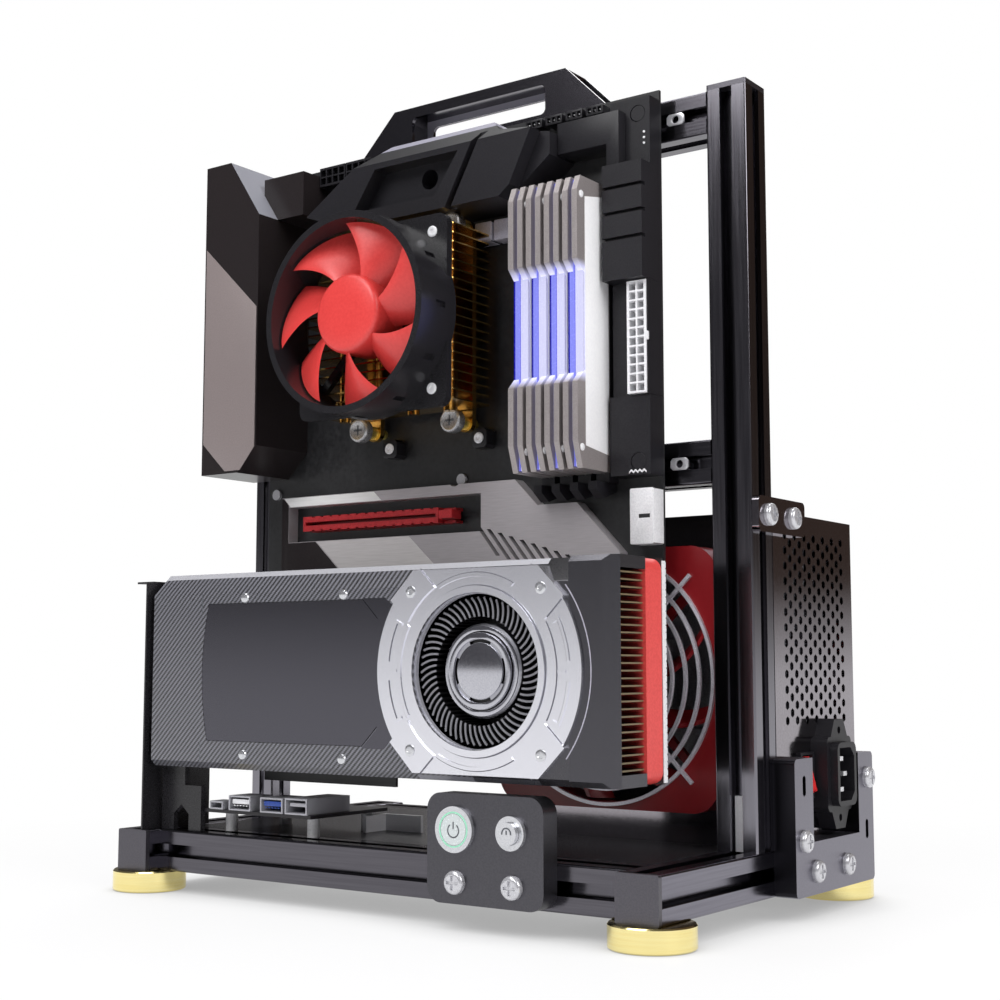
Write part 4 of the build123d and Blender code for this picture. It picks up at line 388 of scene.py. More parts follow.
# Main board: glass laminate under matt black mask, screwed to its standoffs. The mask drifts in
# tone over the copper below it. Three pale chokes and a white header are raised on it.
board_face = -23.0
laminate = finish("black_solder_mask", "1b1b1d", "232325", 2.0, 0.04, (0.34, 0.46))
dress(laminate, "mainboard", edge=0.2)
lilac = finish("pale_ferrite", "aaa7b4", "bcb9c6", 0.8, 0.05, (0.36, 0.46))
choke_side, choke_height, choke_pitch, choke_x, choke_z = 10.2, 8.2, 11.5, 40.3, 322
chokes = []
for number in range(3):
    choke = cut_plate([oblong(choke_side, choke_side, 0.6)], choke_height, 0.3)
    chokes.append((choke, at(choke_x - choke_pitch * number, board_face, choke_z)))
piece("regulator_chokes", lilac, chokes)
header_place, header_height = (106.3, board_face, 177.5), 9.2
header_loops = [oblong(12.2, 25.2, 0.5), rectangle(-1.6, 4.2, -0.9, 0.9)]
header = [(cut_plate(header_loops, header_height, 0.15), at(*header_place))]
piece("pale_header", white_nylon, header)

# Rear connectors: tinned steel port shells in a row, under a gloss black ABS cover. Its upper
# slopes are painted satin grey, a painted highlight from the light above, and a panel of warm grey is
# set on its front.
dress(zinc, "io_ports", edge=0.2)
cover_black = finish("warm_black_abs", "241f20", "282324", 0.9, 0.01, (0.28, 0.32), dull)
slope_painted_highlight = cover_black.copy()
slope_painted_highlight.name = "painted_highlight_slopes"
tree = slope_painted_highlight.node_tree
facing = add(tree, "SeparateXYZ", {0: add(tree, "NewGeometry").outputs["True Normal"]}).outputs["Z"]
upward = 0.4
# Painted highlight: faces that look upward are painted pale grey.
paint(slope_painted_highlight, zone(tree, (facing, "GREATER_THAN", upward)), "8b8c95")
dress(slope_painted_highlight, "io_shroud", edge=0.5)
warm_grey = finish("warm_grey_panel", "867b7a", "8f8483", 0.6, 0.02, (0.32, 0.42), {"Metallic": 0.1})
panel_thick, cover_front = 0.35, -62
panel = [
    (-142.6, 331.0), (-105.4, 295.8), (-105.4, 222.8), (-115.6, 211.2), (-126.4, 211.2), (-142.6, 226.4),
]
cover_panel = cut_plate([panel], panel_thick, 0.08)
piece("cover_panel", warm_grey, [(cover_panel, at(0, cover_front, 0))])

# Regulator heat sink: black anodised cast aluminium, screwed to the board. Painted shade darkens its
# upward slopes, and a cool painted highlight lies on the crown. The processor's power sockets beside
# it are black nylon.
cast_black = finish("black_anodised_casting", "212024", "262529", 0.6, 0.015, (0.28, 0.34), dull)
tree = cast_black.node_tree
crown_foot, crown_leans = 368.8, (0.62, 0.82)
facing = add(tree, "SeparateXYZ", {0: add(tree, "NewGeometry").outputs["True Normal"]}).outputs["Z"]
height = add(tree, "SeparateXYZ", {0: add(tree, "TexCoord").outputs["Object"]}).outputs["Z"]
# Painted shade: faces that look upward are painted darker.
paint(cast_black, zone(tree, (facing, "GREATER_THAN", upward)), "111013")
# Painted highlight: a cool pale band on the crown's upper slope.
crown = zone(
    tree,
    (facing, "GREATER_THAN", crown_leans[0]),
    (facing, "LESS_THAN", crown_leans[1]),
    (height, "GREATER_THAN", crown_foot * mm),
)
paint(cast_black, crown, "8d8b99")
dress(cast_black, "vrm_heatsink", edge=0.5)
dress(nylon_black, "cpu_power_sockets", "memory_slots", edge=0.25)


# Edge cover: black ABS strip with three grooves, clipped over the board's right edge by two plugs.
# An arm runs from it to the heat sink, with fan headers above, white pins beside and a spring below.
def turned(profile, sides=32):
    """A turned piece from its (radius, height) points in millimetres, on its own Z axis."""
    turns = [2 * pi * i / sides for i in range(sides)]
    points = [(r * cos(t), r * sin(t), h) for r, h in profile for t in turns]
    rows = len(profile) - 1
    faces = []
    for row in range(rows):
        for i in range(sides):
            here, beside = row * sides + i, row * sides + (i + 1) % sides
            faces.append((here, beside, beside + sides, here + sides))
    faces += [tuple(range(sides - 1, -1, -1)), tuple(range(rows * sides, (rows + 1) * sides))]
    mesh = bpy.data.meshes.new("turned")
    mesh.from_pydata(points, [], faces)
    return mesh


dress(nylon_black, "edge_cover", edge=0.4)
plug = [(3.9, 0.0), (3.9, 8.7), (3.5, 9.0)]
plug_x, upper_plug, lower_plug, lower_seat = 106.0, 363.5, 202.0, -25.0
plugs = [
    (turned(plug), at(plug_x, board_face, upper_plug)),
    (turned(plug), at(plug_x, lower_seat, lower_plug)),
]
piece("cover_plugs", nylon_black, plugs)
arm = [(65.6, 350.0), (92.6, 350.0), (92.6, 339.4), (99.3, 339.4), (99.3, 365.0), (65.6, 365.0)]
arm_depth = 15.0
piece("cover_arm", nylon_black, [(cut_plate([arm], arm_depth, 0.3), at(0, board_face, 0))])
header_x, header_z, header_depth = (47.0, 58.5, 70.0, 81.5), 370.8, 7.5
cell_steps = (-2.8, 0.0, 2.8)
cells = [rectangle(step - 0.9, step + 0.9, -1.2, 1.2) for step in cell_steps]
headers = []
for x in header_x:
    header = cut_plate([oblong(9.4, 4.6, 0.4)] + cells, header_depth, 0.12)
    headers.append((header, at(x, board_face, header_z)))
piece("fan_headers", nylon_black, headers)
pin = [(0.55, 0.0), (0.55, 0.4), (0.25, 0.6)]
stem = [(0.35, 0.0), (0.35, 6.6), (0.2, 6.9)]
row_start, row_pitch, row_z = 84.7, 2.7, 372.8
column_start, column_pitch, column_x, column_seat = 348.9, 2.65, 109.4, -32.0
pins = [(turned(pin, 12), at(row_start + row_pitch * n, board_face, row_z)) for n in range(4)]
for number in range(3):
    pins.append((turned(pin, 12), at(column_x, column_seat, column_start + column_pitch * number)))
pins += [(turned(stem, 10), at(x + step, board_face, header_z)) for x in header_x for step in cell_steps]
piece("indicator_pins", white_nylon, pins)
wire, spring_place = 0.8, (105.8, -34.0, 198.0)
zigzag = [(-4.4 + 1.1 * n, 0.5 if n % 2 else -0.5) for n in range(9)]
wave = zigzag + [(u, v - wire) for u, v in reversed(zigzag)]
piece("cover_spring", white_nylon, [(cut_plate([wave], 0.7, 0.08), at(*spring_place))])

# Main power socket: white nylon with two rows of cells and a latch bead on its edge. The cover's
# thin wall closes its right side.
dress(white_nylon, "main_power_socket", edge=0.2)
bead_place, wall_x, wall_thick = (111.9, -34.9, 258.5), 111.75, 0.55
bead = cut_plate([oblong(1.5, 4.0, 0.3)], 1.4, 0.2)
piece("socket_bead", white_nylon, [(bead, at(*bead_place))])
wall = cut_plate([rectangle(-35.4, board_face, 232.2, 284.8)], wall_thick)
piece("socket_wall", nylon_black, [(wall, at(wall_x, 0, 0, right))])

# Chipset cover: brushed aluminium plate, warm silver, screwed to the board. A bright patch and a
# paler one are polished into it, and its left corner is black.
brush, pale_metal = (0.05, 1, 1), {"Metallic": 0.1}
brushed = finish("brushed_warm_silver", "aaa5a8", "b3aeb1", 0.5, 0.02, (0.36, 0.46), pale_metal, brush)
dress(brushed, "chipset_cover", edge=0.3)
bright = finish("polished_silver_patch", "e6e6e5", "ededec", 0.5, 0.01, (0.3, 0.38), pale_metal, brush)
pale = finish("brushed_pale_silver", "c4c0c0", "cdc9c9", 0.5, 0.02, (0.36, 0.46), pale_metal, brush)
patch_thick, chipset_face = 0.25, -30
for name, material, outline in (
    ("bright_patch", bright, [(-113.9, 198.7), (-52.2, 198.7), (-47.2, 194.0), (-109.4, 194.0)]),
    ("pale_patch", pale, [(-90.6, 174.9), (-29.3, 174.9), (34.0, 117.3), (-28.4, 117.3)]),
    ("black_corner", cover_black, [
        (-115.5, 117.2), (-29.5, 117.2), (-91.6, 175.0), (-110.9, 175.0), (-110.9, 195.0), (-114.4, 198.7),
        (-115.5, 198.7),
    ]),
):
    patch = cut_plate([outline], patch_thick, 0.05)
    piece(name, material, [(patch, at(0, chipset_face, 0))])

# Expansion slot and its latch: dark red nylon, moulded with a keyed groove and ribs and soldered
# to the board. The latch turns on a pin between the slot's ears.
dark_red = finish("dark_red_nylon", "9c1a20", "b3242a", 0.8, 0.05, (0.32, 0.42))
dress(dark_red, "pcie_slot", "pcie_latch", edge=0.2)

# Memory: pressed aluminium spreaders in bronze grey, riveted near their ends. A lit acrylic bar
# fills the waist of each; its light on the plates beside it is painted on as a pale blue wash with a
# faint glow. White labels cover the sides.
spreader = finish("bronze_grey_spreader", "979090", "a29b9a", 0.6, 0.015, (0.3, 0.38), {"Metallic": 0.3})
tree = spreader.node_tree
shader = tree.nodes["Principled BSDF"]
where = add(tree, "SeparateXYZ", {0: add(tree, "TexCoord").outputs["Object"]}).outputs
# Painted light: pale blue and a faint glow are painted on the plates next to each bar.
painted_glow_share, painted_glow_strength = 1.0, 0.55
for axis, unlit, fully_lit in (("Z", 237, 242), ("Z", 293, 288), ("Y", -51.2, -51.9)):
    limits = {"Value": where[axis], "From Min": unlit * mm, "From Max": fully_lit * mm}
    share = add(tree, "MapRange", limits).outputs["Result"]
    painted_glow_share = add(tree, "Math", {0: painted_glow_share, 1: share}, operation="MULTIPLY").outputs["Value"]
paint(spreader, painted_glow_share, "dcdcf8")
glow = add(tree, "Math", {0: painted_glow_share, 1: painted_glow_strength}, operation="MULTIPLY").outputs["Value"]
tree.links.new(glow, shader.inputs["Emission Strength"])
shader.inputs["Emission Color"].default_value = tone("d2d4ff")
dress(spreader, "memory_modules", edge=0.35)
module_pitch, module_side = 10.0, 59.3
acrylic = finish("lit_blue_acrylic", "10108a", "14148e", 1.0, 0.02, (0.2, 0.3), {"Emission Strength": 0.35})
layers(acrylic, "X", (2.1, "797dd6"), (5.0, "4a4ec8"), (5.3, "bbbbd8"), pitch=module_pitch)
shader = acrylic.node_tree.nodes["Principled BSDF"]
stripes = shader.inputs["Base Color"].links[0].from_socket
acrylic.node_tree.links.new(stripes, shader.inputs["Emission Color"])
dress(acrylic, "memory_light_bars", edge=0.2)
label = [(-51.6, 208.5), (-32.0, 206.0), (-32.0, 326.5), (-51.6, 322.5)]
rivet = [(1.7, 0.0), (1.7, 0.3), (1.2, 0.65), (0.5, 0.8)]
rivet_y, rivet_heights = -54.6, (207.5, 323.0)
gloss_white = finish("gloss_white_label", "f6f6f8", "fafafb", 1.2, 0.004, (0.2, 0.26))
labels, rivets = [], []
for module in range(4):
    side = module_side + module_pitch * module
    labels.append((cut_plate([label], 0.2, 0.05), at(side, 0, 0, right)))
    rivets += [(turned(rivet, 20), at(side, rivet_y, z, right)) for z in rivet_heights]
piece("module_labels", gloss_white, labels)
piece("module_rivets", white_nylon, rivets)

# Processor cooler: copper block and pipes with thin gilded fins, under a round black ABS fan
# duct. Sprung screws with zinc heads and brass barrels hold it, and lugs stand beside them.
cooler_x, cooler_z = -22.7, 277.0
gilt = finish("gilded_copper_fins", "c79a4e", "e3bd72", 0.8, 0.01, (0.16, 0.26), film)
dress(gilt, "cooler_base", "cooler_fins")
duct = finish("black_abs_duct", "1f1e21", "232225", 0.8, 0.006, (0.2, 0.25))
dress(duct, "cooler_fan_frame", edge=0.6)
bright_red = finish("bright_red_abs", "df3f3d", "e54744", 1.5, 0.015, (0.3, 0.38))


def blade(root, tip, sweep, root_half, tip_half, depth, crown, thick):
    """A fan blade between two radii: swept with the radius, leading edge forward, crowned across."""
    rows, columns = 12, 14
    curl, curl_start = 0.12, 0.6
    points, faces = [], []
    for side in (1, -1):
        for i in range(rows + 1):
            share = i / rows
            radius = root + (tip - root) * share
            half = root_half + (tip_half - root_half) * share
            for j in range(columns + 1):
                chord = 2 * j / columns - 1
                trim = 1 - curl * max(share - curl_start, 0) * chord
                turn = radians(sweep * share + half * chord * trim)
                rise = depth * chord + crown * (1 - chord ** 2) + side * thick / 2 * (1 - chord ** 4)
                points.append((radius * cos(turn), radius * sin(turn), rise))
    wide = columns + 1
    back = (rows + 1) * wide
    for i in range(rows):
        for j in range(columns):
            a = i * wide + j
            faces.append((a, a + wide, a + wide + 1, a + 1))
            faces.append((back + a, back + a + 1, back + a + wide + 1, back + a + wide))
    for i in range(rows):
        for j in (0, columns):
            a = i * wide + j
            faces.append((a, a + wide, back + a + wide, back + a))
    for j in range(columns):
        for i in (0, rows):
            a = i * wide + j
            faces.append((a, a + 1, back + a + 1, back + a))
    mesh = bpy.data.meshes.new("blade")
    mesh.from_pydata(points, [], faces)
    return mesh


hub = [(17.0, 0.0), (19.2, 0.6), (19.2, 17.6), (18.9, 19.2), (18.0, 20.4), (16.6, 21.0), (8.0, 21.2)]
hub_back, blade_middle = -66.0, -78.5
blade_count, first_turn = 7, 0.85
fan = [(turned(hub, 64), at(cooler_x, hub_back, cooler_z))]
for number in range(blade_count):
    spun = Matrix.Rotation(2 * pi * number / blade_count + first_turn, 4, "Z")
    swept = blade(
        root=18.0, tip=44.2, sweep=23, root_half=17.5, tip_half=22, depth=6.2, crown=1.4, thick=1.5,
    )
    fan.append((swept, at(cooler_x, blade_middle, cooler_z) @ spun))
rotor = piece("cooler_wheel", bright_red, fan, "cooler_fan_wheel")
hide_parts("cooler_fan_rotor")
barrel_front = -37.9
sprung = finish("sprung_screw_metal", "a4a4a6", "b4b4b6", 0.5, 0.015, (0.24, 0.32), {"Metallic": 0.6})
layers(sprung, "Y", (barrel_front, "d8c46a"))
dress(sprung, "cooler_screws", edge=0.3)
ear, ear_face, lug_face = 37.5, -68.0, -31.0
ear_head = [(2.7, 0.0), (2.7, 0.5), (2.2, 0.9), (1.1, 0.9), (0.9, 0.5)]
ear_spots = [(cooler_x + u, cooler_z + v) for u in (-ear, ear) for v in (-ear, ear)]
lug_spots = ((-41.2, 219.6), (14.8, 220.6))
heads = [(turned(ear_head, 24), at(x, ear_face, z)) for x, z in ear_spots]
heads += [(turned(ear_head, 24), at(x, lug_face, z)) for x, z in lug_spots]
piece("duct_screws", white_nylon, heads)
lug = oblong(9.0, 9.6, 1.6)
lugs = [(cut_plate([lug], board_face - lug_face, 0.4), at(x, board_face, z)) for x, z in lug_spots]
piece("cooler_lugs", nylon_black, lugs)
head = [(5.7, 0.0), (5.9, 0.3), (5.9, 4.6), (5.5, 5.1), (4.8, 5.3), (4.4, 5.1)]
head_seat, head_front = -38.4, -43.5
spots = [(x, z) for x in (-51.7, 6.3) for z in (228.5, 325.5)]
caps = [(turned(head, 40), at(x, head_seat, z)) for x, z in spots]
piece("sprung_heads", sprung, caps)
cross = rectangle(-2.6, 2.6, -0.5, 0.5)
slots = []
for x, z in spots:
    for turn in (0, pi / 2):
        slots.append((cut_plate([cross], 0.08), at(x, head_front, z) @ Matrix.Rotation(turn, 4, "Z")))
piece("sprung_slots", enamel, slots)

# Graphics card: laminate board and cast base under a cover of carbon weave. The weave is a two by
# two twill, 0.7 mm a tow, under clear lacquer. The cover is plain dark satin round the fan, with a
# silver trim above and below the surround and a pale wall in the fan's mouth. The upper band runs on
# along the top edge left of the surround, and there it is a painted highlight.
dress(nylon_black, "card_baseplate", edge=0.3)
dress(laminate, "card_board", edge=0.2)
comb_x, comb_low, comb_high, comb_pitch, comb_land = 131.3, 62.0, 155.0, 3.0, 2.5
comb_back, comb_tip, comb_gap = -58.7, -55.6, -56.1
comb = [(comb_back, comb_high), (comb_back, comb_low)]
for tooth in range(31):
    low = comb_low + comb_pitch * tooth
    comb += [(comb_tip, low), (comb_tip, low + comb_land)]
    comb += [(comb_gap, low + comb_land), (comb_gap, low + comb_pitch)]
edge_comb = [(cut_plate([comb], 0.4, 0.05), at(comb_x, 0, 0, right))]
piece("board_edge_comb", white_nylon, edge_comb)
card_fan = (62.3, 108.5)


def fan_radius(tree):
    """How far a place is from the axis of the card's fan."""
    place = add(tree, "TexCoord").outputs["Object"]
    flat = add(tree, "VectorMath", {0: place, 1: (1, 0, 1)}, operation="MULTIPLY").outputs["Vector"]
    axis = (card_fan[0] * mm, 0.0, card_fan[1] * mm)
    return add(tree, "VectorMath", {0: flat, 1: axis}, operation="DISTANCE").outputs["Value"]


lacquer = {"Coat Weight": 0.5, "Coat Roughness": 0.12}
weave = finish("carbon_twill", "2b2b2e", "2f2f32", 0.7, 0.01, (0.26, 0.34), lacquer)
tree = weave.node_tree
tow, tows_in_repeat, over_two = 0.7, 4.0, 1.5
where = add(tree, "SeparateXYZ", {0: add(tree, "TexCoord").outputs["Object"]}).outputs
across = add(tree, "Math", {0: where["X"], 1: 1000 / tow}, operation="MULTIPLY").outputs["Value"]
rise = add(tree, "Math", {0: where["Z"], 1: where["Y"]}, operation="SUBTRACT").outputs["Value"]
along = add(tree, "Math", {0: rise, 1: 1000 / tow}, operation="MULTIPLY").outputs["Value"]
column = add(tree, "Math", {0: across}, operation="FLOOR").outputs["Value"]
row = add(tree, "Math", {0: along}, operation="FLOOR").outputs["Value"]
count = add(tree, "Math", {0: column, 1: row}, operation="SUBTRACT").outputs["Value"]
repeat = {0: count, 1: tows_in_repeat}
step = add(tree, "Math", repeat, operation="FLOORED_MODULO").outputs["Value"]
paint(weave, zone(tree, (step, "LESS_THAN", over_two)), "74747c")
plain_from, slope_foot, mouth_radius = 60, 146, 33.4
trim_left, trim_right, upper_trim, lower_trim = 30, 94, 153.5, 63.6
past_weave = (where["X"], "GREATER_THAN", plain_from * mm)
before_end = (where["X"], "LESS_THAN", trim_right * mm)
plain_end = zone(tree, past_weave)
paint(weave, plain_end, "4c4b50")
paint(weave, zone(tree, past_weave, (where["Z"], "GREATER_THAN", slope_foot * mm)), "1f1e22")
paint(weave, zone(tree, (fan_radius(tree), "LESS_THAN", mouth_radius * mm)), "a2a2aa")
# Silver trim over the surround, and a painted highlight along the top edge left of it.
top_band_and_highlight = zone(tree, before_end, (where["Z"], "GREATER_THAN", upper_trim * mm))
paint(weave, top_band_and_highlight, "b2b2b8")
lower = zone(
    tree,
    before_end,
    (where["X"], "GREATER_THAN", trim_left * mm),
    (where["Z"], "LESS_THAN", lower_trim * mm),
)
paint(weave, lower, "8a8a92")
satin_metal = 0.8
satin = add(tree, "Math", {0: plain_end, 1: satin_metal}, operation="MULTIPLY").outputs["Value"]
metal = add(tree, "Math", {0: satin, 1: top_band_and_highlight}, operation="SUBTRACT", use_clamp=True).outputs["Value"]
tree.links.new(metal, tree.nodes["Principled BSDF"].inputs["Metallic"])
dress(weave, "card_shroud", edge=0.5)

# Window in the cover: smoked acrylic that mirrors darkly, set flush and held by four bright rivets.
# Its right corners reach to the surround, and two short seams are cut in the cover at its left.
card_face, inlay_face = -97.0, -96.98
smoked = finish("smoked_acrylic", "58575e", "5a5960", 1.2, 0.004, (0.13, 0.16), {"Metallic": 0.95})
dress(smoked, "card_window", edge=0.2)
dome = [(2.5, 0.0), (2.5, 0.3), (2.1, 0.9), (1.3, 1.2), (0.4, 1.3)]
spots = [(x, z) for x in (-75.2, -12.9) for z in (143.0, 68.8)]
rivets = [(turned(dome, 24), at(x, card_face, z)) for x, z in spots]
piece("window_rivets", nickel, rivets)
corners = [
    (-1.7, 141.0), (7.3, 132.0), (7.3, 83.0), (-1.7, 74.0), (11.5, 74.0),
    (15.4, 78.0), (17.0, 79.0), (17.0, 138.0), (15.4, 138.0), (11.5, 141.0),
]
piece("window_corners", smoked, [(cut_plate([corners], 0.12), at(0, inlay_face, 0))])
seam_x, seam_heights = -104.4, (69.6, 140.6)
seams = [(cut_plate([oblong(0.5, 9.6, 0.1)], 0.1), at(seam_x, inlay_face, z)) for z in seam_heights]
piece("cover_seams", enamel, seams)

# Fan surround: cast aluminium, blasted to a satin silver, held by four socket screws in its corner
# blocks. Grey seam lines part its rings and the blocks, and grey arcs along the inner side of the
# ridges on its side pads are painted shadow.
surround_face, block_face, screw_reach = -98.18, -99.0, 34.5
cast_silver = finish("satin_cast_aluminium", "e8e8f0", "eeeef5", 0.5, 0.003, (0.2, 0.24), {"Metallic": 0.9})
dress(cast_silver, "card_fan_surround", edge=0.3)
socket_screw = [(2.6, 0.0), (2.6, 0.25), (2.2, 0.4), (1.3, 0.4), (1.1, 0.1)]
reaches = (-screw_reach, screw_reach)
spots = [(card_fan[0] + u, card_fan[1] + v) for u in reaches for v in reaches]
screws = [(turned(socket_screw, 24), at(x, block_face, z)) for x, z in spots]
piece("surround_screws", nickel, screws)
seam_and_shadow_grey = finish("seam_and_painted_shadow", "74747c", "7e7e86", 0.5, 0.003, (0.4, 0.48), {"Metallic": 0.5})
seam_thick, seam_half = 0.06, 0.2
seam_place = at(card_fan[0], surround_face, card_fan[1])
loops = [band(42.0, 42.4, middle - 29, middle + 29) for middle in (0, 90, 180, 270)]
# Painted shadow: arcs along the inner side of the side pads' ridges.
loops += [band(46.9, 47.3, first, first + 22, 12) for first in (5, -27, 153, 185)]
seams = [(cut_plate([ring(36.9, 96), ring(36.4, 96)], seam_thick), seam_place)]
seams += [(cut_plate([loop], seam_thick), seam_place) for loop in loops]
for turn in (45, 135, 225, 315):
    spun = Matrix.Rotation(radians(turn), 4, "Z")
    for side in (-10.7, 10.7):
        strip = rectangle(42.0, 52.5, side - seam_half, side + seam_half)
        seams.append((cut_plate([strip], seam_thick), seam_place @ spun))
piece("surround_seams", seam_and_shadow_grey, seams)

# Blower wheel: black nylon blades, moulded on a turned aluminium hub; their front edges are painted
# paler as a painted highlight. Bright rings stand on the hub's steps, and painted shade darkens its
# slots and groove.
blade_front, hub_radius = -94.6, 20.5
wheel = finish("black_blower_nylon", "121113", "191819", 0.8, 0.04, (0.3, 0.4))
tree = wheel.node_tree
radius = fan_radius(tree)
depth = add(tree, "SeparateXYZ", {0: add(tree, "TexCoord").outputs["Object"]}).outputs["Y"]
# Painted highlight: the blades' front edges are painted pale grey.
paint(wheel, zone(tree, (depth, "LESS_THAN", blade_front * mm)), "7c7c81")
metal = zone(tree, (radius, "LESS_THAN", hub_radius * mm))
paint(wheel, metal, "c6c6ce")
# Painted shade: the hub's slots and groove are painted near black and lose their metal.
for inner, outer, face in ((12.15, 13.65, -94.1), (16.45, 17.1, -93.6)):
    painted_shade_hollow = zone(
        tree,
        (radius, "GREATER_THAN", inner * mm),
        (radius, "LESS_THAN", outer * mm),
        (depth, "GREATER_THAN", face * mm),
    )
    paint(wheel, painted_shade_hollow, "121114")
    metal = add(tree, "Math", {0: metal, 1: painted_shade_hollow}, operation="SUBTRACT").outputs["Value"]
tree.links.new(metal, tree.nodes["Principled BSDF"].inputs["Metallic"])
dress(wheel, "card_impeller")
hub_bright = finish("turned_aluminium_hub", "b9b9c1", "c4c4cb", 0.5, 0.003, (0.14, 0.18), film)
step_face, cap_face, ring_edge = -93.0, -94.2, 0.2
rings = []
for loops, thick, face in (
    ([ring(19.3, 64), ring(17.1, 64)], 0.6, step_face),
    ([ring(16.35, 64), ring(13.75, 64)], 0.8, cap_face),
    ([ring(12.05, 64)], 0.5, cap_face),
):
    rings.append((cut_plate(loops, thick, ring_edge), at(card_fan[0], face, card_fan[1])))
piece("hub_rings", hub_bright, rings, "card_fan_wheel")

# End of the card: plain dark satin cap with a curved seam round the fan, gilded fins in its
# vent, and a band of salmon red ABS behind it. Deeper in the vent the fins are painted near black as
# painted shade.
end_satin = finish("dark_satin_end", "525156", "56555a", 0.8, 0.006, (0.22, 0.27), {"Metallic": 0.85})
dress(end_satin, "card_end_cap", edge=0.5)
curved_seam = cut_plate([band(57.6, 58.1, -38, 38, 40)], 0.12)
piece("end_seam", lilac, [(curved_seam, at(card_fan[0], inlay_face, card_fan[1]))])
gilded_from = 129.4
# Painted shade: fins are near black deeper in the vent, and gold near its mouth.
fins_painted_shade = finish("gilded_fins_painted_shade", "0b0907", "120f0b", 0.8, 0.01, (0.3, 0.4))
layers(fins_painted_shade, "X", (gilded_from, "75664a"))
dress(fins_painted_shade, "card_fins")
salmon = finish("salmon_red_abs", "e04643", "ea5450", 1.0, 0.04, (0.28, 0.38))
dress(salmon, "card_red_band", edge=0.6)

# Floor: a sheet of pale satin paper that fades to white away from the object. It keeps the object's
# shadow, and is darker where the feet and the rails stand close over it. Sizes here and below are
# in metres.
sheet, clearance = 6.0, 0.0002
shade_reach, white_reach, contact_reach = 0.22, 0.5, 0.05
bpy.ops.mesh.primitive_plane_add(size=sheet, location=(0, 0, -clearance))
floor = bpy.context.object
floor.name = "floor"
paper = bpy.data.materials.new("white_paper")
paper.use_nodes = True
tree = paper.node_tree
shader = tree.nodes["Principled BSDF"]
shader.inputs["Base Color"].default_value = tone("f4f4f6")
shader.inputs["Roughness"].default_value = 0.4
place = add(tree, "TexCoord").outputs["Object"]
distance = add(tree, "VectorMath", {0: place}, operation="LENGTH").outputs["Value"]
fade = {"Value": distance, "From Min": shade_reach, "From Max": white_reach, "To Min": 0.8, "To Max": 1.0}
near = add(tree, "MapRange", fade).outputs["Result"]
open_share = add(tree, "AmbientOcclusion", {"Distance": contact_reach}, samples=16).outputs["AO"]
dim = {"Value": open_share, "From Min": 0.1, "From Max": 0.8, "To Min": 0.42, "To Max": 1.0}
contact = add(tree, "MapRange", dim).outputs["Result"]
glow = add(tree, "Emission", {"Color": (1, 1, 1, 1), "Strength": contact}).outputs["Emission"]
mixed = add(tree, "MixShader", {"Fac": near, 1: shader.outputs["BSDF"], 2: glow}).outputs["Shader"]
path = add(tree, "LightPath")
rays = {0: path.outputs["Is Camera Ray"], 1: path.outputs["Is Glossy Ray"]}
seen = add(tree, "Math", rays, operation="MAXIMUM").outputs["Value"]
shown = add(tree, "MixShader", {"Fac": seen, 1: shader.outputs["BSDF"], 2: mixed}).outputs["Shader"]
tree.links.new(shown, tree.nodes["Material Output"].inputs["Surface"])
floor.data.materials.append(paper)

# Room: a white backdrop, which metal mirrors as high as the backdrop stands, under a dim ceiling
# that is warm at the back.
backdrop_foot, backdrop_top = -0.01, 0.05
world = bpy.data.worlds.new("studio")
scene.world = world
world.use_nodes = True
tree = world.node_tree
tree.nodes.clear()
path = add(tree, "LightPath")
rays = {0: path.outputs["Is Camera Ray"], 1: path.outputs["Is Transmission Ray"]}
direct = add(tree, "Math", rays, operation="MAXIMUM").outputs["Value"]
way = add(tree, "TexCoord").outputs["Generated"]
rise = add(tree, "SeparateXYZ", {0: way}).outputs["Z"]
fade = {"Value": rise, "From Min": backdrop_foot, "From Max": backdrop_top, "To Min": 1.0, "To Max": 0.0}
backdrop = add(tree, "MapRange", fade).outputs["Result"]
rays = {0: path.outputs["Is Glossy Ray"], 1: backdrop}
mirrored = add(tree, "Math", rays, operation="MULTIPLY").outputs["Value"]
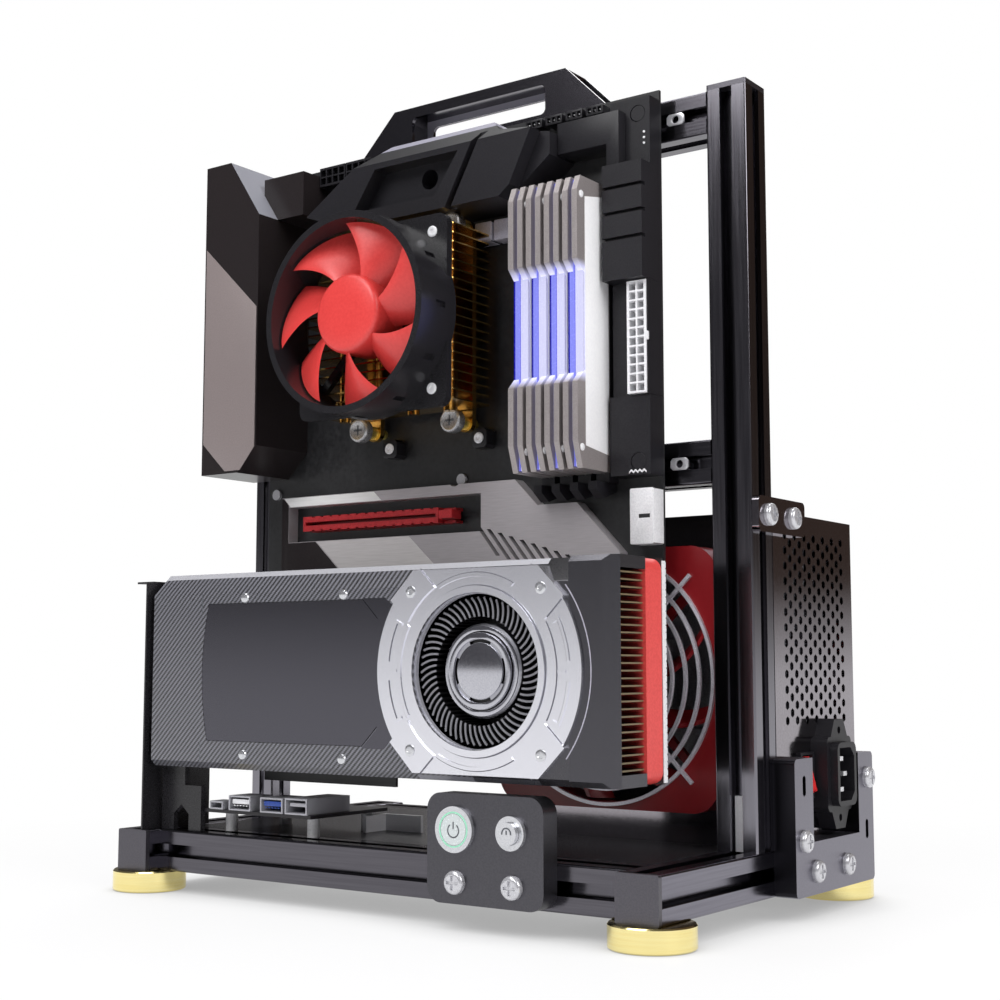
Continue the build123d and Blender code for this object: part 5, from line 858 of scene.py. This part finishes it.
seen = add(tree, "Math", {0: direct, 1: mirrored}, operation="MAXIMUM").outputs["Value"]
warm_side = {0: way, 1: (0.6, 0.8, 0)}
aside = add(tree, "VectorMath", warm_side, operation="DOT_PRODUCT").outputs["Value"]
warmth = add(tree, "MapRange", {"Value": aside, "From Min": 0.0, "From Max": 0.7}).outputs["Result"]
colours = {0: warmth, 6: tone("f4f3fa"), 7: tone("d8b8a6")}
room = add(tree, "Mix", colours, data_type="RGBA").outputs[2]
soft_fill = add(tree, "Background", {"Color": room, "Strength": 0.12}).outputs["Background"]
white = add(tree, "Background", {"Color": (1, 1, 1, 1), "Strength": 1.0}).outputs["Background"]
both = add(tree, "MixShader", {"Fac": seen, 1: soft_fill, 2: white}).outputs["Shader"]
add(tree, "OutputWorld", {"Surface": both})


# Lamps: four large soft boxes that hang high in front, at the right, above and behind, all turned
# to the middle of the object.
def lamp(name, power, size, spot, aim):
    """A soft box lamp that faces a point."""
    light = bpy.data.lights.new(name, "AREA")
    light.shape = "RECTANGLE"
    light.size, light.size_y = size
    light.energy = power
    light.color = tone("ffffff")[:3]
    box = bpy.data.objects.new(name, light)
    box.location = spot
    box.rotation_euler = (Vector(aim) - Vector(spot)).to_track_quat("-Z", "Y").to_euler()
    scene.collection.objects.link(box)


middle = (0, 0, 0.2)
lamp("key_box", 20, (1.2, 0.9), (-0.1, -1.3, 1.35), middle)
lamp("side_box", 17, (1.0, 0.9), (1.5, -0.3, 1.1), middle)
lamp("top_box", 20, (1.4, 1.0), (-0.3, 0.1, 1.7), middle)
lamp("back_box", 9, (1.2, 0.9), (-0.6, 1.5, 1.2), middle)

# Camera: low at the right in front, as the photograph was taken, fitted to the object's known
# sizes with a lens a little longer than normal.
camera = bpy.data.objects.new("camera", bpy.data.cameras.new("camera"))
camera.location = (0.4662, -0.6425, 0.1108)
camera.rotation_euler = (radians(95.971), 0, radians(35.663))
camera.data.lens = 57.0
camera.data.sensor_width = 36.0
camera.data.clip_start = 0.01
scene.collection.objects.link(camera)
scene.camera = camera
scene.view_settings.view_transform = "Standard"
